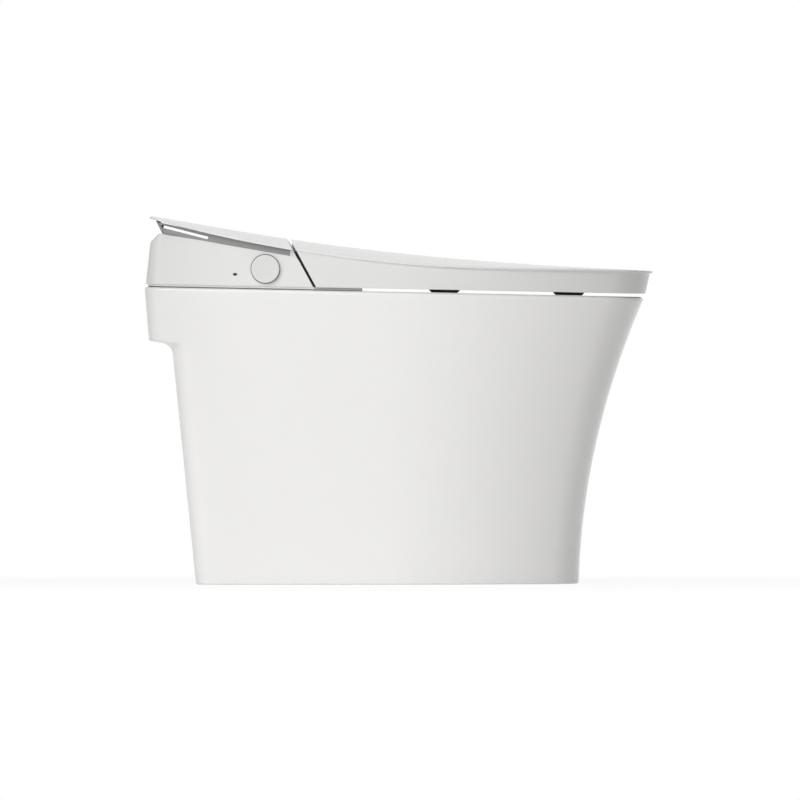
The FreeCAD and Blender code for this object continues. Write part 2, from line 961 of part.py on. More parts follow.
def housing_solid(name, inset):
    """The rear housing's outer form, drawn in by an inset."""
    profile = pad(
        name + "_profile",
        "YZ_Plane",
        f"-(housing_half_width - {inset})",
        f"housing_half_width - {inset}",
        [
            (seam_at("tool_floor", f"seam_gap / 2 + {inset}"), "tool_floor"),
            (f"housing_rear_low + 2 - {inset}", "tool_floor"),
            (f"housing_rear_high - {inset}", f"housing_shoulder - {inset} / 2"),
            (f"housing_chamfer - {inset}", f"housing_top_rear - {inset}"),
            (
                seam_at(f"housing_top_front - {inset}", f"seam_gap / 2 + {inset}"),
                f"housing_top_front - {inset}",
            ),
        ],
    )
    plan = pad(
        name + "_plan",
        "XY_Plane",
        "tool_floor",
        "tool_ceiling",
        d_shape(
            f"housing_half_width - {inset}",
            "overall_half_length",
            f"housing_rear_low + 2 - {inset}",
            f"housing_corner - {inset}",
            "rim_nose",
            "front_curve_start",
        ),
    )
    return cut(
        name, common(name + "_form", profile, plan), below_rim(name + "_floor", f"deck_top - {inset} * 10")
    )


def housing_cover():
    """A moulded shell with a bay for the hinges sunk into its top."""
    liner = block(
        "bay_liner",
        ("-bay_half_width - housing_wall", "bay_half_width + housing_wall"),
        ("90", "hinge_y + bay_depth + housing_wall"),
        ("hinge_z - bay_depth - housing_wall", "hinge_z + 50"),
    )
    room = cut("housing_room", housing_solid("housing_inside", "housing_wall"), liner)
    shell = cut("housing_shell", housing_solid("housing_outside", "0"), room)
    tools = [
        block(
            "hinge_bay",
            ("-bay_half_width", "bay_half_width"),
            ("90", "hinge_y + bay_depth"),
            ("hinge_z - bay_depth", "hinge_z + 40"),
        ),
        block(
            "nozzle_port",
            ("-guide_half_width - 3", "guide_half_width + 3"),
            ("90", "seam_y + 30"),
            ("tool_floor", "port_z + 24"),
        ),
        block(
            "duct_port",
            ("duct_near_x - 0.5", "duct_far_x + 0.5"),
            ("90", "seam_y + 40"),
            ("rim_height + duct_bottom", "rim_height + duct_top + 3.5"),
        ),
        rod("knob_bore", "X", "-housing_half_width - 5", "knob_y", "knob_z", "knob_bore_radius", "20"),
        rod("lens_bore", "X", "-housing_half_width - 5", "lens_y", "lens_z", "lens_radius + 0.05", "20"),
    ]
    tools += [
        block(
            f"arm_slot_{side}",
            (low, high),
            ("90", "hinge_y + bay_depth"),
            ("rim_height + deck_top + 2", "hinge_z + 40"),
        )
        for side, low, high in (
            ("left", "bracket_inner_x - 1", "bracket_outer_x + bracket_thickness + 1"),
            ("right", "-bracket_outer_x - bracket_thickness - 1", "1 - bracket_inner_x"),
        )
    ]
    return node("housing_cover", cut("housing_cut", shell, *tools))


def rear_top_plate():
    sheet = cut("rear_sheet", top_sheet("rear_top"), before_seam("rear_parting", "seam_gap / 2"))
    return node("rear_top_plate", sheet)


def riser_rear_at(height, inset="0"):
    """How far back the riser's leaning rear face is, at a height."""
    return f"(riser_rear_low + (({height}) - housing_top_rear) * riser_lean - ({inset}))"


def plate_riser():
    """The recessed strip between housing and top plate, with its long slots."""
    outside = pad(
        "riser_outside",
        "YZ_Plane",
        "-riser_half_width",
        "riser_half_width",
        [
            ("riser_front", "tool_floor"),
            (riser_rear_at("tool_floor"), "tool_floor"),
            (riser_rear_at("tool_ceiling"), "tool_ceiling"),
            ("riser_front", "tool_ceiling"),
        ],
    )
    inside = pad(
        "riser_inside",
        "YZ_Plane",
        "riser_wall - riser_half_width",
        "riser_half_width - riser_wall",
        [
            ("riser_front - 10", "tool_floor - 10"),
            (riser_rear_at("tool_floor - 10", "riser_rear_wall"), "tool_floor - 10"),
            (riser_rear_at("tool_ceiling + 10", "riser_rear_wall"), "tool_ceiling + 10"),
            ("riser_front - 10", "tool_ceiling + 10"),
        ],
    )
    frame = common(
        "riser_frame",
        cut("riser_walls", outside, inside),
        crown("riser_top", "plate_thickness + plate_glue_gap"),
    )
    below = pad(
        "riser_below",
        "YZ_Plane",
        "-300",
        "300",
        [
            (seam_at("housing_top_front", "seam_gap / 2 - 60"), "tool_floor"),
            ("housing_chamfer + 30", "tool_floor"),
            ("housing_chamfer + 30", housing_top_at("housing_chamfer + 30")),
            (
                seam_at("housing_top_front", "seam_gap / 2 - 60"),
                housing_top_at(seam_at("housing_top_front", "seam_gap / 2 - 60")),
            ),
        ],
    )
    slot = pad(
        "riser_slot",
        "YZ_Plane",
        "-300",
        "300",
        [
            ("slot_front", "slot_level"),
            ("slot_rear", "slot_level + slot_rise"),
            (
                "slot_rear",
                "slot_level + slot_rise + slot_height",
                "slot_height / 2 + 0.01",
                1,
            ),
            ("slot_front", "slot_level + slot_height"),
        ],
    )
    return node("plate_riser", cut("riser_cut", frame, below, slot))


def housing_top_at(y):
    """Height of the housing's sloping top at a distance back."""
    front = seam_at("housing_top_front", "seam_gap / 2")
    return (
        f"(housing_top_front + (({y}) - {front}) * (housing_top_rear - housing_top_front)"
        f" / (housing_chamfer - {front}))"
    )


def hinge_sides():
    return (("left", 1), ("right", -1))


def across(sign, low, high):
    """An X range on one side, lowest first."""
    return (low, high) if sign > 0 else (f"-({high})", f"-({low})")


def hinge_rod(name, sign, low, high, radius):
    x = low if sign > 0 else f"-({high})"
    return rod(name, "X", x, "hinge_y", "hinge_z", radius, f"({high}) - ({low})")


def hinge_bracket(side, sign):
    """Two cheeks on a common foot; the hinge shaft turns in both."""
    cheeks = []
    for name, low in (("inner", "bracket_inner_x"), ("outer", "bracket_outer_x")):
        high = f"{low} + bracket_thickness"
        cheeks.append(
            block(
                f"{name}_cheek_{side}",
                across(sign, low, high),
                ("hinge_y - cheek_radius", "hinge_y + cheek_radius"),
                ("rim_height", "hinge_z"),
            )
        )
        cheeks.append(hinge_rod(f"{name}_eye_{side}", sign, low, high, "cheek_radius"))
    foot = block(
        f"bracket_foot_{side}",
        across(sign, "bracket_inner_x", "bracket_outer_x + bracket_thickness"),
        ("hinge_y - cheek_radius", "hinge_y + cheek_radius"),
        ("rim_height", "rim_height + deck_top + foot_thickness + 3.5"),
    )
    bore = hinge_rod(
        f"bracket_bore_{side}", sign, "bracket_inner_x - 1", "bracket_outer_x + 10", "shaft_radius + running_clearance"
    )
    solid = fuse(f"bracket_solid_{side}", *cheeks, foot)
    tools = (below_rim(f"bracket_floor_{side}", "deck_top"), bore)
    return node(f"hinge_bracket_{side}", cut(f"bracket_cut_{side}", solid, *tools))


def hinge_damper(label, sign):
    """A round soft-close damper beside the inner cheek, on a small saddle."""
    high = "bracket_inner_x - side_clearance / 2"
    case = hinge_rod(f"{label}_case", sign, f"{high} - damper_length", high, "damper_radius")
    saddle = block(
        f"{label}_saddle",
        across(sign, "bracket_inner_x - 6", "bracket_inner_x - side_clearance / 2"),
        ("hinge_y - 6", "hinge_y + 6"),
        ("hinge_z - bay_depth + seat_rest_gap", "hinge_z"),
    )
    bore = hinge_rod(
        f"{label}_bore", sign, f"{high} - damper_length + 4", "bracket_inner_x + 5", "shaft_radius + running_clearance"
    )
    return node(label, cut(f"{label}_cut", fuse(f"{label}_solid", case, saddle), bore))


def hinge_shaft(label, sign):
    return node(
        label,
        hinge_rod(
            f"{label}_pin",
            sign,
            "bracket_inner_x - damper_length + 5",
            "bracket_outer_x + bracket_thickness",
            "shaft_radius",
        ),
    )


def hinge_arm(label, sign, start, keyed, corners, trim=None):
    """A bent arm cut from flat stock, with a barrel on the hinge shaft."""
    low, high = across(sign, start, f"{start} + arm_width")
    plate = pad(
        f"{label}_plate",
        "YZ_Plane",
        low,
        high,
        [(f"hinge_y - ({forward})", f"hinge_z + ({up})") for forward, up in corners],
    )
    barrel = hinge_rod(f"{label}_barrel", sign, start, f"{start} + arm_width", "barrel_radius")
    clearance = "0" if keyed else "running_clearance"
    bore = hinge_rod(
        f"{label}_bore", sign, f"{start} - 1", f"{start} + arm_width + 1", f"shaft_radius + {clearance}"
    )
    solid = fuse(f"{label}_solid", plate, barrel)
    if trim:
        solid = common(f"{label}_trim", solid, trim)
    return node(label, cut(f"{label}_cut", solid, bore))


def lid_arm(side, sign):
    """Reaches under the top plate's front edge and up to the lid."""
    corners = [
        ("-lid_arm_back", "0"),
        ("-lid_arm_back", "-lid_arm_drop"),
        ("lid_arm_reach", "-lid_arm_drop"),
        ("lid_arm_reach", "20"),
        ("lid_arm_reach - arm_thickness", "20"),
        ("lid_arm_reach - arm_thickness", "arm_thickness - lid_arm_drop"),
        ("arm_thickness - lid_arm_back", "arm_thickness - lid_arm_drop"),
        ("arm_thickness - lid_arm_back", "0"),
    ]
    under = crown(f"lid_arm_{side}_under", "plate_thickness + plate_glue_gap")
    return hinge_arm(f"lid_arm_{side}", sign, "lid_arm_x", sign > 0, corners, under)


def seat_arm(side, sign):
    """Reaches down and forward to the back of the seat."""
    reach = "hinge_y - seat_rear - arm_seat_gap"
    corners = [
        ("-seat_arm_back", "0"),
        ("-seat_arm_back", "-seat_arm_drop"),
        (reach, "-seat_arm_drop"),
        (reach, "arm_thickness - seat_arm_drop + 1"),
        ("arm_thickness - seat_arm_back", "arm_thickness - seat_arm_drop + 1"),
        ("arm_thickness - seat_arm_back", "0"),
    ]
    return hinge_arm(f"seat_arm_{side}", sign, "seat_arm_x", sign < 0, corners)


def lid_skirt_loft(name, inset):
    sections = [
        (
            f"skirt_{end}_z",
            d_shape(
                f"skirt_half_width_{end} - ({inset})",
                f"skirt_front_{end} - ({inset})",
                "overall_half_length",
                "body_corner",
                "plate_nose - 4",
                "front_curve_start",
            ),
        )
        for end in ("low", "high")
    ]
    return loft(name, "XY_Plane", sections)


def lid_shell():
    """Crowned sheet and skirt in one moulding, open below."""
    parting = behind_seam("lid_parting", "-seam_gap / 2")
    sheet = cut("lid_sheet", top_sheet("lid_top"), parting)
    solid = common(
        "lid_skirt_solid",
        lid_skirt_loft("lid_skirt_outside", "0"),
        crown("lid_skirt_top", "plate_thickness"),
    )
    skirt = cut(
        "lid_skirt",
        solid,
        lid_skirt_loft("lid_skirt_inside", "lid_skirt_wall"),
        below_rim("lid_skirt_bottom", "lid_gap"),
        behind_seam("lid_skirt_parting", "-seam_gap / 2"),
    )
    return node("lid_shell", fuse("lid_fused", sheet, skirt))


def lid_inner_panel():
    """The flat liner that closes the lid from below, fitted inside the skirt."""
    layer = group(
        "lid_panel_layer",
        block(
            "lid_panel_slab",
            ("-300", "300"),
            ("-400", "seat_rear"),
            ("lid_panel_height", "lid_panel_height + lid_panel_thickness"),
        ),
    )
    inside = lid_skirt_loft("lid_panel_outline", "lid_skirt_wall + seat_rest_gap")
    return node("lid_inner_panel", common("lid_panel_trim", inside, on_rim(layer)))


def lid_bumpers():
    pieces = [
        rod(
            f"lid_bumper_{side}_{end}",
            "Z",
            f"{sign} * ({x})",
            f"-({y})",
            f"seat_top + seat_rest_gap",
            "lid_bumper_radius",
            f"lid_panel_height - seat_top - seat_rest_gap",
        )
        for side, sign in hinge_sides()
        for end, x, y in (
            ("rear", "bumper_spread", "bumper_rear"), ("front", "bumper_front_spread", "bumper_front")
        )
    ]
    return node("lid_bumpers", on_rim(group("lid_bumper_group", *pieces)))


def seat_outline(inset):
    return d_shape(
        f"seat_half_width - ({inset})",
        f"seat_front - ({inset})",
        f"seat_rear - ({inset})",
        f"seat_corner - ({inset})",
        f"seat_nose - ({inset})",
        "front_curve_start - 10",
    )


def seat_hole(outset):
    return egg(
        f"seat_hole_half_width + ({outset})",
        f"seat_hole_front + ({outset})",
        f"seat_hole_rear + ({outset})",
        f"seat_hole_nose + ({outset})",
        f"seat_hole_tail + ({outset})",
        "(seat_hole_rear - seat_hole_front) / 2",
    )


def seat_ring(name, inset, low, high):
    ring = pad(name + "_plan", "XY_Plane", low, high, seat_outline(inset))
    hole = pad(name + "_hole", "XY_Plane", f"{low} - 1", f"{high} + 1", seat_hole(inset))
    return cut(name, ring, hole)


def seat_tray():
    """The seat's lower shell, a channel open to the top."""
    body = seat_ring("seat_tray_ring", "0", "lid_gap", "lid_gap + seat_tray_thickness")
    channel = seat_ring(
        "seat_tray_channel", "seat_wall", "lid_gap + seat_wall", "lid_gap + seat_tray_thickness + 1"
    )
    return node("seat_bottom_shell", on_rim(cut("seat_tray_cut", body, channel)))


def seat_cover():
    """The seat's upper shell, which warms the user, a channel open below."""
    body = seat_ring("seat_cover_ring", "0", "lid_gap + seat_tray_thickness", "seat_top")
    channel = seat_ring(
        "seat_cover_channel", "seat_wall", "lid_gap + seat_tray_thickness - 1", f"seat_top - seat_wall"
    )
    return node("seat_top_shell", on_rim(cut("seat_cover_cut", body, channel)))


def seat_heater():
    """A heating film under the upper shell's skin."""
    film = seat_ring(
        "seat_film", "seat_wall + 2", f"seat_top - seat_wall - heater_thickness", f"seat_top - seat_wall"
    )
    return node("seat_heater", on_rim(film))


def seat_bumpers():
    """Four rubber pads that stand on the ceramic rim."""
    pieces = []
    for side, sign in hinge_sides():
        for end, x, y in (
            ("rear", "bumper_spread", "bumper_rear"),
            ("front", "bumper_front_spread", "bumper_front"),
        ):
            pieces.append(
                pad(
                    f"seat_bumper_{side}_{end}",
                    "YZ_Plane",
                    f"{sign} * {x} - bumper_width / 2",
                    f"{sign} * {x} + bumper_width / 2",
                    [
                        (f"bumper_length / 2 - 3 - {y}", "seat_rest_gap"),
                        (f"bumper_length / 2 - {y}", "lid_gap"),
                        (f"-bumper_length / 2 - {y}", "lid_gap"),
                        (f"3 - bumper_length / 2 - {y}", "seat_rest_gap"),
                    ],
                )
            )
    return node("seat_bumpers", on_rim(group("seat_bumper_group", *pieces)))


def knob_rod(name, start, end, radius):
    """A round bar on the knob's axis, from an X to a larger X."""
    return rod(name, "X", start, "knob_y", "knob_z", radius, f"({end}) - ({start})")


def knob_cap():
    return node(
        "knob_cap", knob_rod("knob_disc", f"knob_face - knob_thickness", "knob_face", "knob_radius")
    )


def knob_shaft():
    return node(
        "knob_shaft", knob_rod(
            "knob_spindle", "knob_face", f"knob_face + knob_shaft_length", "knob_shaft_radius"
        )
    )


def knob_plunger():
    """The sleeve that the knob pushes in against its spring."""
    start = f"knob_face + 0.1"
    sleeve = knob_rod("plunger_sleeve", start, f"{start} + plunger_length", "plunger_radius")
    bore = knob_rod(
        "plunger_bore", f"{start} - 1", f"{start} + plunger_length + 1", "knob_shaft_radius + running_clearance"
    )
    return node("knob_plunger", cut("plunger_cut", sleeve, bore))


def knob_encoder():
    """The switch block behind the knob, on a post that stands on the base plate."""
    start = f"(knob_face + plunger_length + knob_travel + 0.4)"
    end = f"{start} + encoder_depth"
    case = block(
        "encoder_case",
        (start, end),
        ("knob_y - encoder_side / 2", "knob_y + encoder_side / 2"),
        ("knob_z - encoder_side / 2", "knob_z + encoder_side / 2"),
    )
    post = block(
        "encoder_post", (start, end), ("knob_y - 6", "knob_y + 6"), (
            "rim_height - 5", "knob_z - encoder_side / 2"
        )
    )
    bore = knob_rod(
        "encoder_bore", f"{start} - 1", f"knob_face + knob_shaft_length + knob_travel + 0.5", "knob_shaft_radius + 0.4"
    )
    solid = fuse("encoder_solid", case, post)
    return node("knob_encoder", cut("encoder_cut", solid, below_rim("encoder_floor", "deck_top"), bore))


def indicator_lens():
    return node(
        "indicator_lens",
        rod(
            "lens_disc",
            "X",
            "-housing_half_width - 0.3",
            "lens_y",
            "lens_z",
            "lens_radius",
            "housing_wall + 1",
        ),
    )


def on_wand_axis(item):
    """Lay a piece, drawn along +Y from the port, on the wands' sloping axis."""
    item.Placement = FreeCAD.Placement(VECTOR(), FreeCAD.Rotation(VECTOR(1, 0, 0), 1))
    item.setExpression("Placement.Rotation.Angle", bound("wand_tilt"))
    return put(item, "0", "port_y", "port_z")


def rack(name, sign):
    """A toothed strip on top of a wand, with a gap under the pinion at rest."""
    body = DOC.addObject("PartDesign::Body", name)
    x = f"{sign} * wand_x - rack_width / 2"
    bar_sketch = outline(
        body,
        name + "_bar_sketch",
        "YZ_Plane",
        x,
        box_shape(f"pinion_back - 4 * tooth_pitch", f"pinion_back + 36 * tooth_pitch", "0", "rack_floor"),
    )
    bar = body.newObject("PartDesign::Pad", name + "_bar")
    bar.Profile = bar_sketch
    bar.setExpression("Length", bound("rack_width"))
    root = "(tooth_width / 2 + tooth_dedendum * tan(20))"
    tip = "(tooth_width / 2 - tooth_addendum * tan(20))"
    centre = f"pinion_back - 3.5 * tooth_pitch"
    tooth_sketch = outline(
        body,
        name + "_tooth_sketch",
        "YZ_Plane",
        x,
        [
            (f"{centre} - {root}", f"rack_floor - 0.2"),
            (f"{centre} + {root}", f"rack_floor - 0.2"),
            (f"{centre} + {root}", "rack_floor"),
            (f"{centre} + {tip}", f"rack_floor + tooth_dedendum + tooth_addendum"),
            (f"{centre} - {tip}", f"rack_floor + tooth_dedendum + tooth_addendum"),
            (f"{centre} - {root}", "rack_floor"),
        ],
    )
    tooth = body.newObject("PartDesign::Pad", name + "_tooth")
    tooth.Profile = tooth_sketch
    tooth.setExpression("Length", bound("rack_width"))
    DOC.recompute()
    row = body.newObject("PartDesign::LinearPattern", name + "_row")
    row.Originals = [tooth]
    row.Direction = (tooth_sketch, ["H_Axis"])
    row.setExpression("Length", bound(f"39 * tooth_pitch"))
    row.Occurrences = 40
    body.Tip = row
    return body


def wand_bar(name, sign, start, end, radius):
    return rod(name, "Y", f"{sign} * wand_x", start, "0", radius, f"({end}) - ({start})")


def wand(label, sign):
    tube = wand_bar(f"{label}_tube", sign, "wand_tip_length", "wand_length", "wand_radius")
    return node(label, on_wand_axis(fuse(f"{label}_solid", tube, rack(f"{label}_rack", sign))))


def wand_tip(label, sign, holes):
    """The spray head: a rounded end with a row of upward jets."""
    nose = DOC.addObject("Part::Cone", f"{label}_nose")
    nose.Placement = FreeCAD.Placement(VECTOR(), ALONG["Y"])
    nose.setExpression("Radius1", bound("wand_radius - 2"))
    nose.setExpression("Radius2", bound("wand_radius"))
    nose.setExpression("Height", "3")
    put(nose, f"{sign} * wand_x", "0", "0")
    head = wand_bar(f"{label}_head", sign, "3", "wand_tip_length", "wand_radius")
    jets = [
        rod(f"{label}_jet_{number}", "Z", f"{sign} * wand_x", f"4.5 + {number} * 3", "2", "0.8", "8")
        for number in range(holes)
    ]
    solid = fuse(f"{label}_solid", nose, head)
    return node(label, on_wand_axis(cut(f"{label}_cut", solid, *jets)))


def wand_guide():
    """The twin channel that both wands slide in, open along the top for the racks."""
    start, end = "guide_front", "guide_front + guide_length"
    body = block(
        "guide_block",
        ("-guide_half_width", "guide_half_width"),
        (start, end),
        ("-guide_half_height", "guide_half_height"),
    )
    tools = []
    for side, sign in hinge_sides():
        tools.append(
            wand_bar(
                f"guide_bore_{side}",
                sign,
                f"{start} - 1",
                f"{end} - guide_wall",
                "wand_radius + guide_clearance",
            )
        )
        tools.append(
            block(
                f"guide_slot_{side}",
                (f"{sign} * wand_x - rack_width / 2 - 0.6", f"{sign} * wand_x + rack_width / 2 + 0.6"),
                (f"{start} - 1", f"{end} - guide_wall"),
                ("0", "guide_half_height + 1"),
            )
        )
    return node("wand_guide", on_wand_axis(cut("guide_cut", body, *tools)))


def wand_pinion(label, sign):
    """A spur gear on its motor's shaft, one tooth pointing at the rack."""
    corners = []
    tip = "(tooth_tip / 2)"
    root = "(tooth_width / 2 + tooth_dedendum * tan(20) * 0.75)"
    for tooth in range(SIZES["pinion_teeth"]):
        angle = f"(360 / pinion_teeth * {tooth} - 90)"
        for side, radius in (
            (f"-{root}", f"(pitch_radius - tooth_dedendum)"),
            (f"-{tip}", f"(pitch_radius + tooth_addendum)"),
            (tip, f"(pitch_radius + tooth_addendum)"),
            (root, f"(pitch_radius - tooth_dedendum)"),
        ):
            corners.append(
                (
                    f"{radius} * cos({angle}) - ({side}) * sin({angle}) + pinion_back",
                    f"{radius} * sin({angle}) + ({side}) * cos({angle}) + pinion_height",
                )
            )
    wheel = pad(
        f"{label}_wheel",
        "YZ_Plane",
        f"{sign} * wand_x - pinion_width / 2",
        f"{sign} * wand_x + pinion_width / 2",
        corners,
    )
    near, far = across(sign, "wand_x", "guide_half_width + side_clearance + 6")
    shaft = rod(
        f"{label}_shaft",
        "X",
        near,
        "pinion_back",
        "pinion_height",
        "pinion_shaft_radius",
        f"({far}) - ({near})",
    )
    return node(label, on_wand_axis(fuse(f"{label}_solid", wheel, shaft)))


def wand_motor(label, sign):
    low = "guide_half_width + side_clearance"
    near, far = across(sign, low, f"{low} + motor_length")
    case = rod(f"{label}_case", "X", near, "pinion_back", "pinion_height", "motor_radius", "motor_length")
    near, far = across(sign, f"{low} - 1", f"{low} + 7")
    bore = rod(
        f"{label}_bore", "X", near, "pinion_back", "pinion_height", "pinion_shaft_radius + running_clearance", "8"
    )
    return node(label, on_wand_axis(cut(f"{label}_cut", case, bore)))


def works_tray():
    """The plate over the well that carries the water and air works."""
    plate = block(
        "tray_plate",
        ("-well_half_width - tray_lap", "well_half_width + tray_lap"),
        ("well_front + tray_lap", "well_rear + tray_lap"),
        ("deck_top", "tray_top"),
    )
    notch = block(
        "tray_notch",
        ("-guide_half_width - side_clearance", "guide_half_width + side_clearance"),
        ("0", "well_front + 34"),
        ("0", "20"),
    )
    hole = rod("tray_gland_hole", "Z", "gland_x", "gland_y", "0", "gland_bore_radius", "20")
    return node("works_tray", on_rim(cut("tray_cut", plate, notch, hole)))


def dryer_rod(name, low, high, radius):
    return rod(name, "Z", "dryer_x", "dryer_y", low, radius, f"({high}) - ({low})")


def dryer_housing():
    """A fan drum with a duct that ends behind the flap."""
    drum = dryer_rod("dryer_drum", "tray_top", "dryer_top", "dryer_radius")
    duct = block(
        "dryer_duct",
        ("duct_near_x", "duct_far_x"),
        ("duct_mouth_y", "dryer_y"),
        ("duct_bottom", "duct_top"),
    )
    room = dryer_rod(
        "dryer_room", f"tray_top + dryer_wall", "dryer_top - dryer_wall", "dryer_radius - dryer_wall"
    )
    way = block(
        "dryer_way",
        ("duct_near_x + dryer_wall", "duct_far_x - dryer_wall"),
        ("duct_mouth_y - 5", "dryer_y"),
        ("duct_bottom + dryer_wall", "duct_top - dryer_wall"),
    )
    shaft_hole = dryer_rod("dryer_shaft_hole", "dryer_top - 5", "dryer_top + 5", "fan_shaft_radius + 1")
    pin_hole = rod(
        "flap_pin_hole", "X", "duct_near_x - 1", "flap_y", "flap_height", "flap_pin_radius + running_clearance", "40"
    )
    solid = fuse("dryer_solid", drum, duct)
    return node("dryer_housing", on_rim(cut("dryer_cut", solid, room, way, shaft_hole, pin_hole)))


def dryer_flap():
    """A light flap that the warm air pushes forward."""
    leaf = block(
        "flap_leaf",
        ("duct_near_x + dryer_wall + side_clearance", "duct_far_x - dryer_wall - side_clearance"),
        ("flap_y - flap_thickness / 2", "flap_y + flap_thickness / 2"),
        ("duct_bottom + dryer_wall + side_clearance", f"flap_height + 0.5"),
    )
    pin = rod(
        "flap_pin", "X", "duct_near_x + 0.2", "flap_y", "flap_height", "flap_pin_radius", "duct_far_x - duct_near_x - 0.4"
    )
    return node("dryer_flap", on_rim(fuse("flap_solid", leaf, pin)))


def fan_wheel(name, x, y, low, high, outer, inner, hub, blades):
    """Straight blades round a hub, joined by a base disc."""
    disc = rod(name + "_disc", "Z", x, y, low, outer, "1.5")
    core = rod(name + "_core", "Z", x, y, low, hub, f"({high}) - ({low})")
    pieces = [disc, core]
    for number in range(blades):
        blade = DOC.addObject("Part::Box", f"{name}_blade_{number}")
        turn = FreeCAD.Rotation(VECTOR(0, 0, 1), 360 / blades * number)
        blade.Placement = FreeCAD.Placement(VECTOR(), turn)
        blade.setExpression("Length", bound(f"({outer}) - ({inner})"))
        blade.setExpression("Width", "1")
        blade.setExpression("Height", bound(f"({high}) - ({low})"))
        put(
            blade,
            f"{x} + ({inner}) * cos(360 / {blades} * {number})",
            f"{y} + ({inner}) * sin(360 / {blades} * {number})",
            low,
        )
        pieces.append(blade)
    return fuse(name, *pieces)


def dryer_fan():
    wheel = fan_wheel(
        "dryer_wheel",
        "dryer_x",
        "dryer_y",
        f"tray_top + dryer_wall + 1",
        "dryer_top - dryer_wall - 1",
        "dryer_radius - dryer_wall - 2",
        "dryer_radius - dryer_wall - 10",
        "6",
        18,
    )
    shaft = dryer_rod("dryer_fan_shaft", "dryer_top - dryer_wall - 2", "dryer_top + 6", "fan_shaft_radius")
    return node("dryer_impeller", on_rim(fuse("dryer_fan_solid", wheel, shaft)))


def dryer_motor():
    case = dryer_rod(
        "dryer_motor_case", "dryer_top", "dryer_top + dryer_motor_height", "dryer_motor_radius"
    )
    bore = dryer_rod(
        "dryer_motor_bore", "dryer_top - 1", "dryer_top + 7", "fan_shaft_radius + running_clearance"
    )
    return node("dryer_motor", on_rim(cut("dryer_motor_cut", case, bore)))


def filter_rod(name, low, high, radius):
    return rod(name, "Z", "-deodoriser_x", "deodoriser_y", low, radius, f"({high}) - ({low})")


def deodoriser_housing():
    """A fan drum with a fixed post, open on top, that blows into the filter."""
    drum = filter_rod("deodoriser_drum", "deck_top", "deodoriser_top", "deodoriser_radius")
    room = filter_rod("deodoriser_room", "deck_top + 2", "deodoriser_top - 2", "deodoriser_radius - 2")
    mouth = filter_rod(
        "deodoriser_mouth", "deodoriser_top - 3", "deodoriser_top + 1", "deodoriser_radius / 2"
    )
    post = filter_rod("deodoriser_post", "deck_top + 1", "deodoriser_top - 5", "fan_post_radius")
    outlet = block(
        "deodoriser_outlet",
        ("-deodoriser_x - 10", "10 - deodoriser_x"),
        ("deodoriser_y", "deodoriser_y + deodoriser_radius + 1"),
        ("deck_top + 5", "deodoriser_top - 5"),
    )
    hollow = cut("deodoriser_hollow", room, post)
    solid = cut(
        "deodoriser_cut",
        drum,
        hollow,
        mouth,
        cut("deodoriser_way", outlet, filter_rod("deodoriser_keep", "0", "40", "fan_post_radius + 4")),
    )
    return node("deodoriser_housing", on_rim(solid))


def deodoriser_fan():
    wheel = fan_wheel(
        "deodoriser_wheel",
        "-deodoriser_x",
        "deodoriser_y",
        "deck_top + 3",
        "deodoriser_top - 4",
        "deodoriser_radius - 4",
        "deodoriser_radius - 10",
        "fan_post_radius + 3",
        14,
    )
    bore = filter_rod("deodoriser_bore", "0", "deodoriser_top + 5", "fan_post_radius + running_clearance")
    return node("deodoriser_impeller", on_rim(cut("deodoriser_fan_cut", wheel, bore)))


def carbon_filter():
    """A slotted cartridge that the fan blows through."""
    y_start = "deodoriser_y + deodoriser_radius + 0.3"
    case = block(
        "filter_block",
        ("-deodoriser_x - filter_width / 2", "filter_width / 2 - deodoriser_x"),
        (y_start, f"{y_start} + filter_depth"),
        ("deck_top", "deodoriser_top"),
    )
    slots = [
        block(
            f"filter_slot_{number}",
            ("-deodoriser_x - filter_width / 2 + 5", "filter_width / 2 - deodoriser_x - 5"),
            (f"{y_start} + 4 + {number} * 9", f"{y_start} + 8 + {number} * 9"),
            ("deodoriser_top - 16", "deodoriser_top + 1"),
        )
        for number in range(4)
    ]
    return node("carbon_filter", on_rim(cut("filter_cut", case, *slots)))


def water_heater():
    """The flat instant heater with its two hose spouts."""
    case = block(
        "heater_case",
        ("-heater_far_x", "-heater_near_x"),
        ("heater_front", "heater_rear"),
        ("tray_top", "heater_top"),
    )
    spouts = [
        rod(f"heater_spout_{end}", "Y", x, "heater_rear - 1", f"tray_top + 12", "4", "9")
        for end, x in (("cold", "12 - heater_far_x"), ("hot", "-12 - heater_near_x"))
    ]
    return node("water_heater", on_rim(fuse("heater_solid", case, *spouts)))


def wash_pump():
    """The small pump that feeds the wands, lying across the tray."""
    motor = rod(
        "pump_motor",
        "X",
        "-pump_half",
        "pump_y",
        f"tray_top + pump_radius",
        "pump_radius",
        "pump_half * 1.4",
    )
    head = rod(
        "pump_head", "X", "pump_half * 0.4", "pump_y", f"tray_top + pump_radius", "pump_radius - 3", "pump_half * 0.6"
    )
    return node("wash_pump", on_rim(fuse("pump_solid", motor, head)))


def power_supply():
    """The mains converter, with a terminal block at one end."""
    case = block(
        "supply_case",
        ("supply_near_x", "supply_far_x"),
        ("supply_front", "supply_rear"),
        ("tray_top", "supply_top"),
    )
    terminals = block(
        "supply_terminals",
        ("supply_far_x - 1", "supply_far_x + 10"),
        ("supply_front + 4", "supply_rear - 4"),
        ("tray_top", f"tray_top + 12"),
    )
    return node("power_supply", on_rim(fuse("supply_solid", case, terminals)))


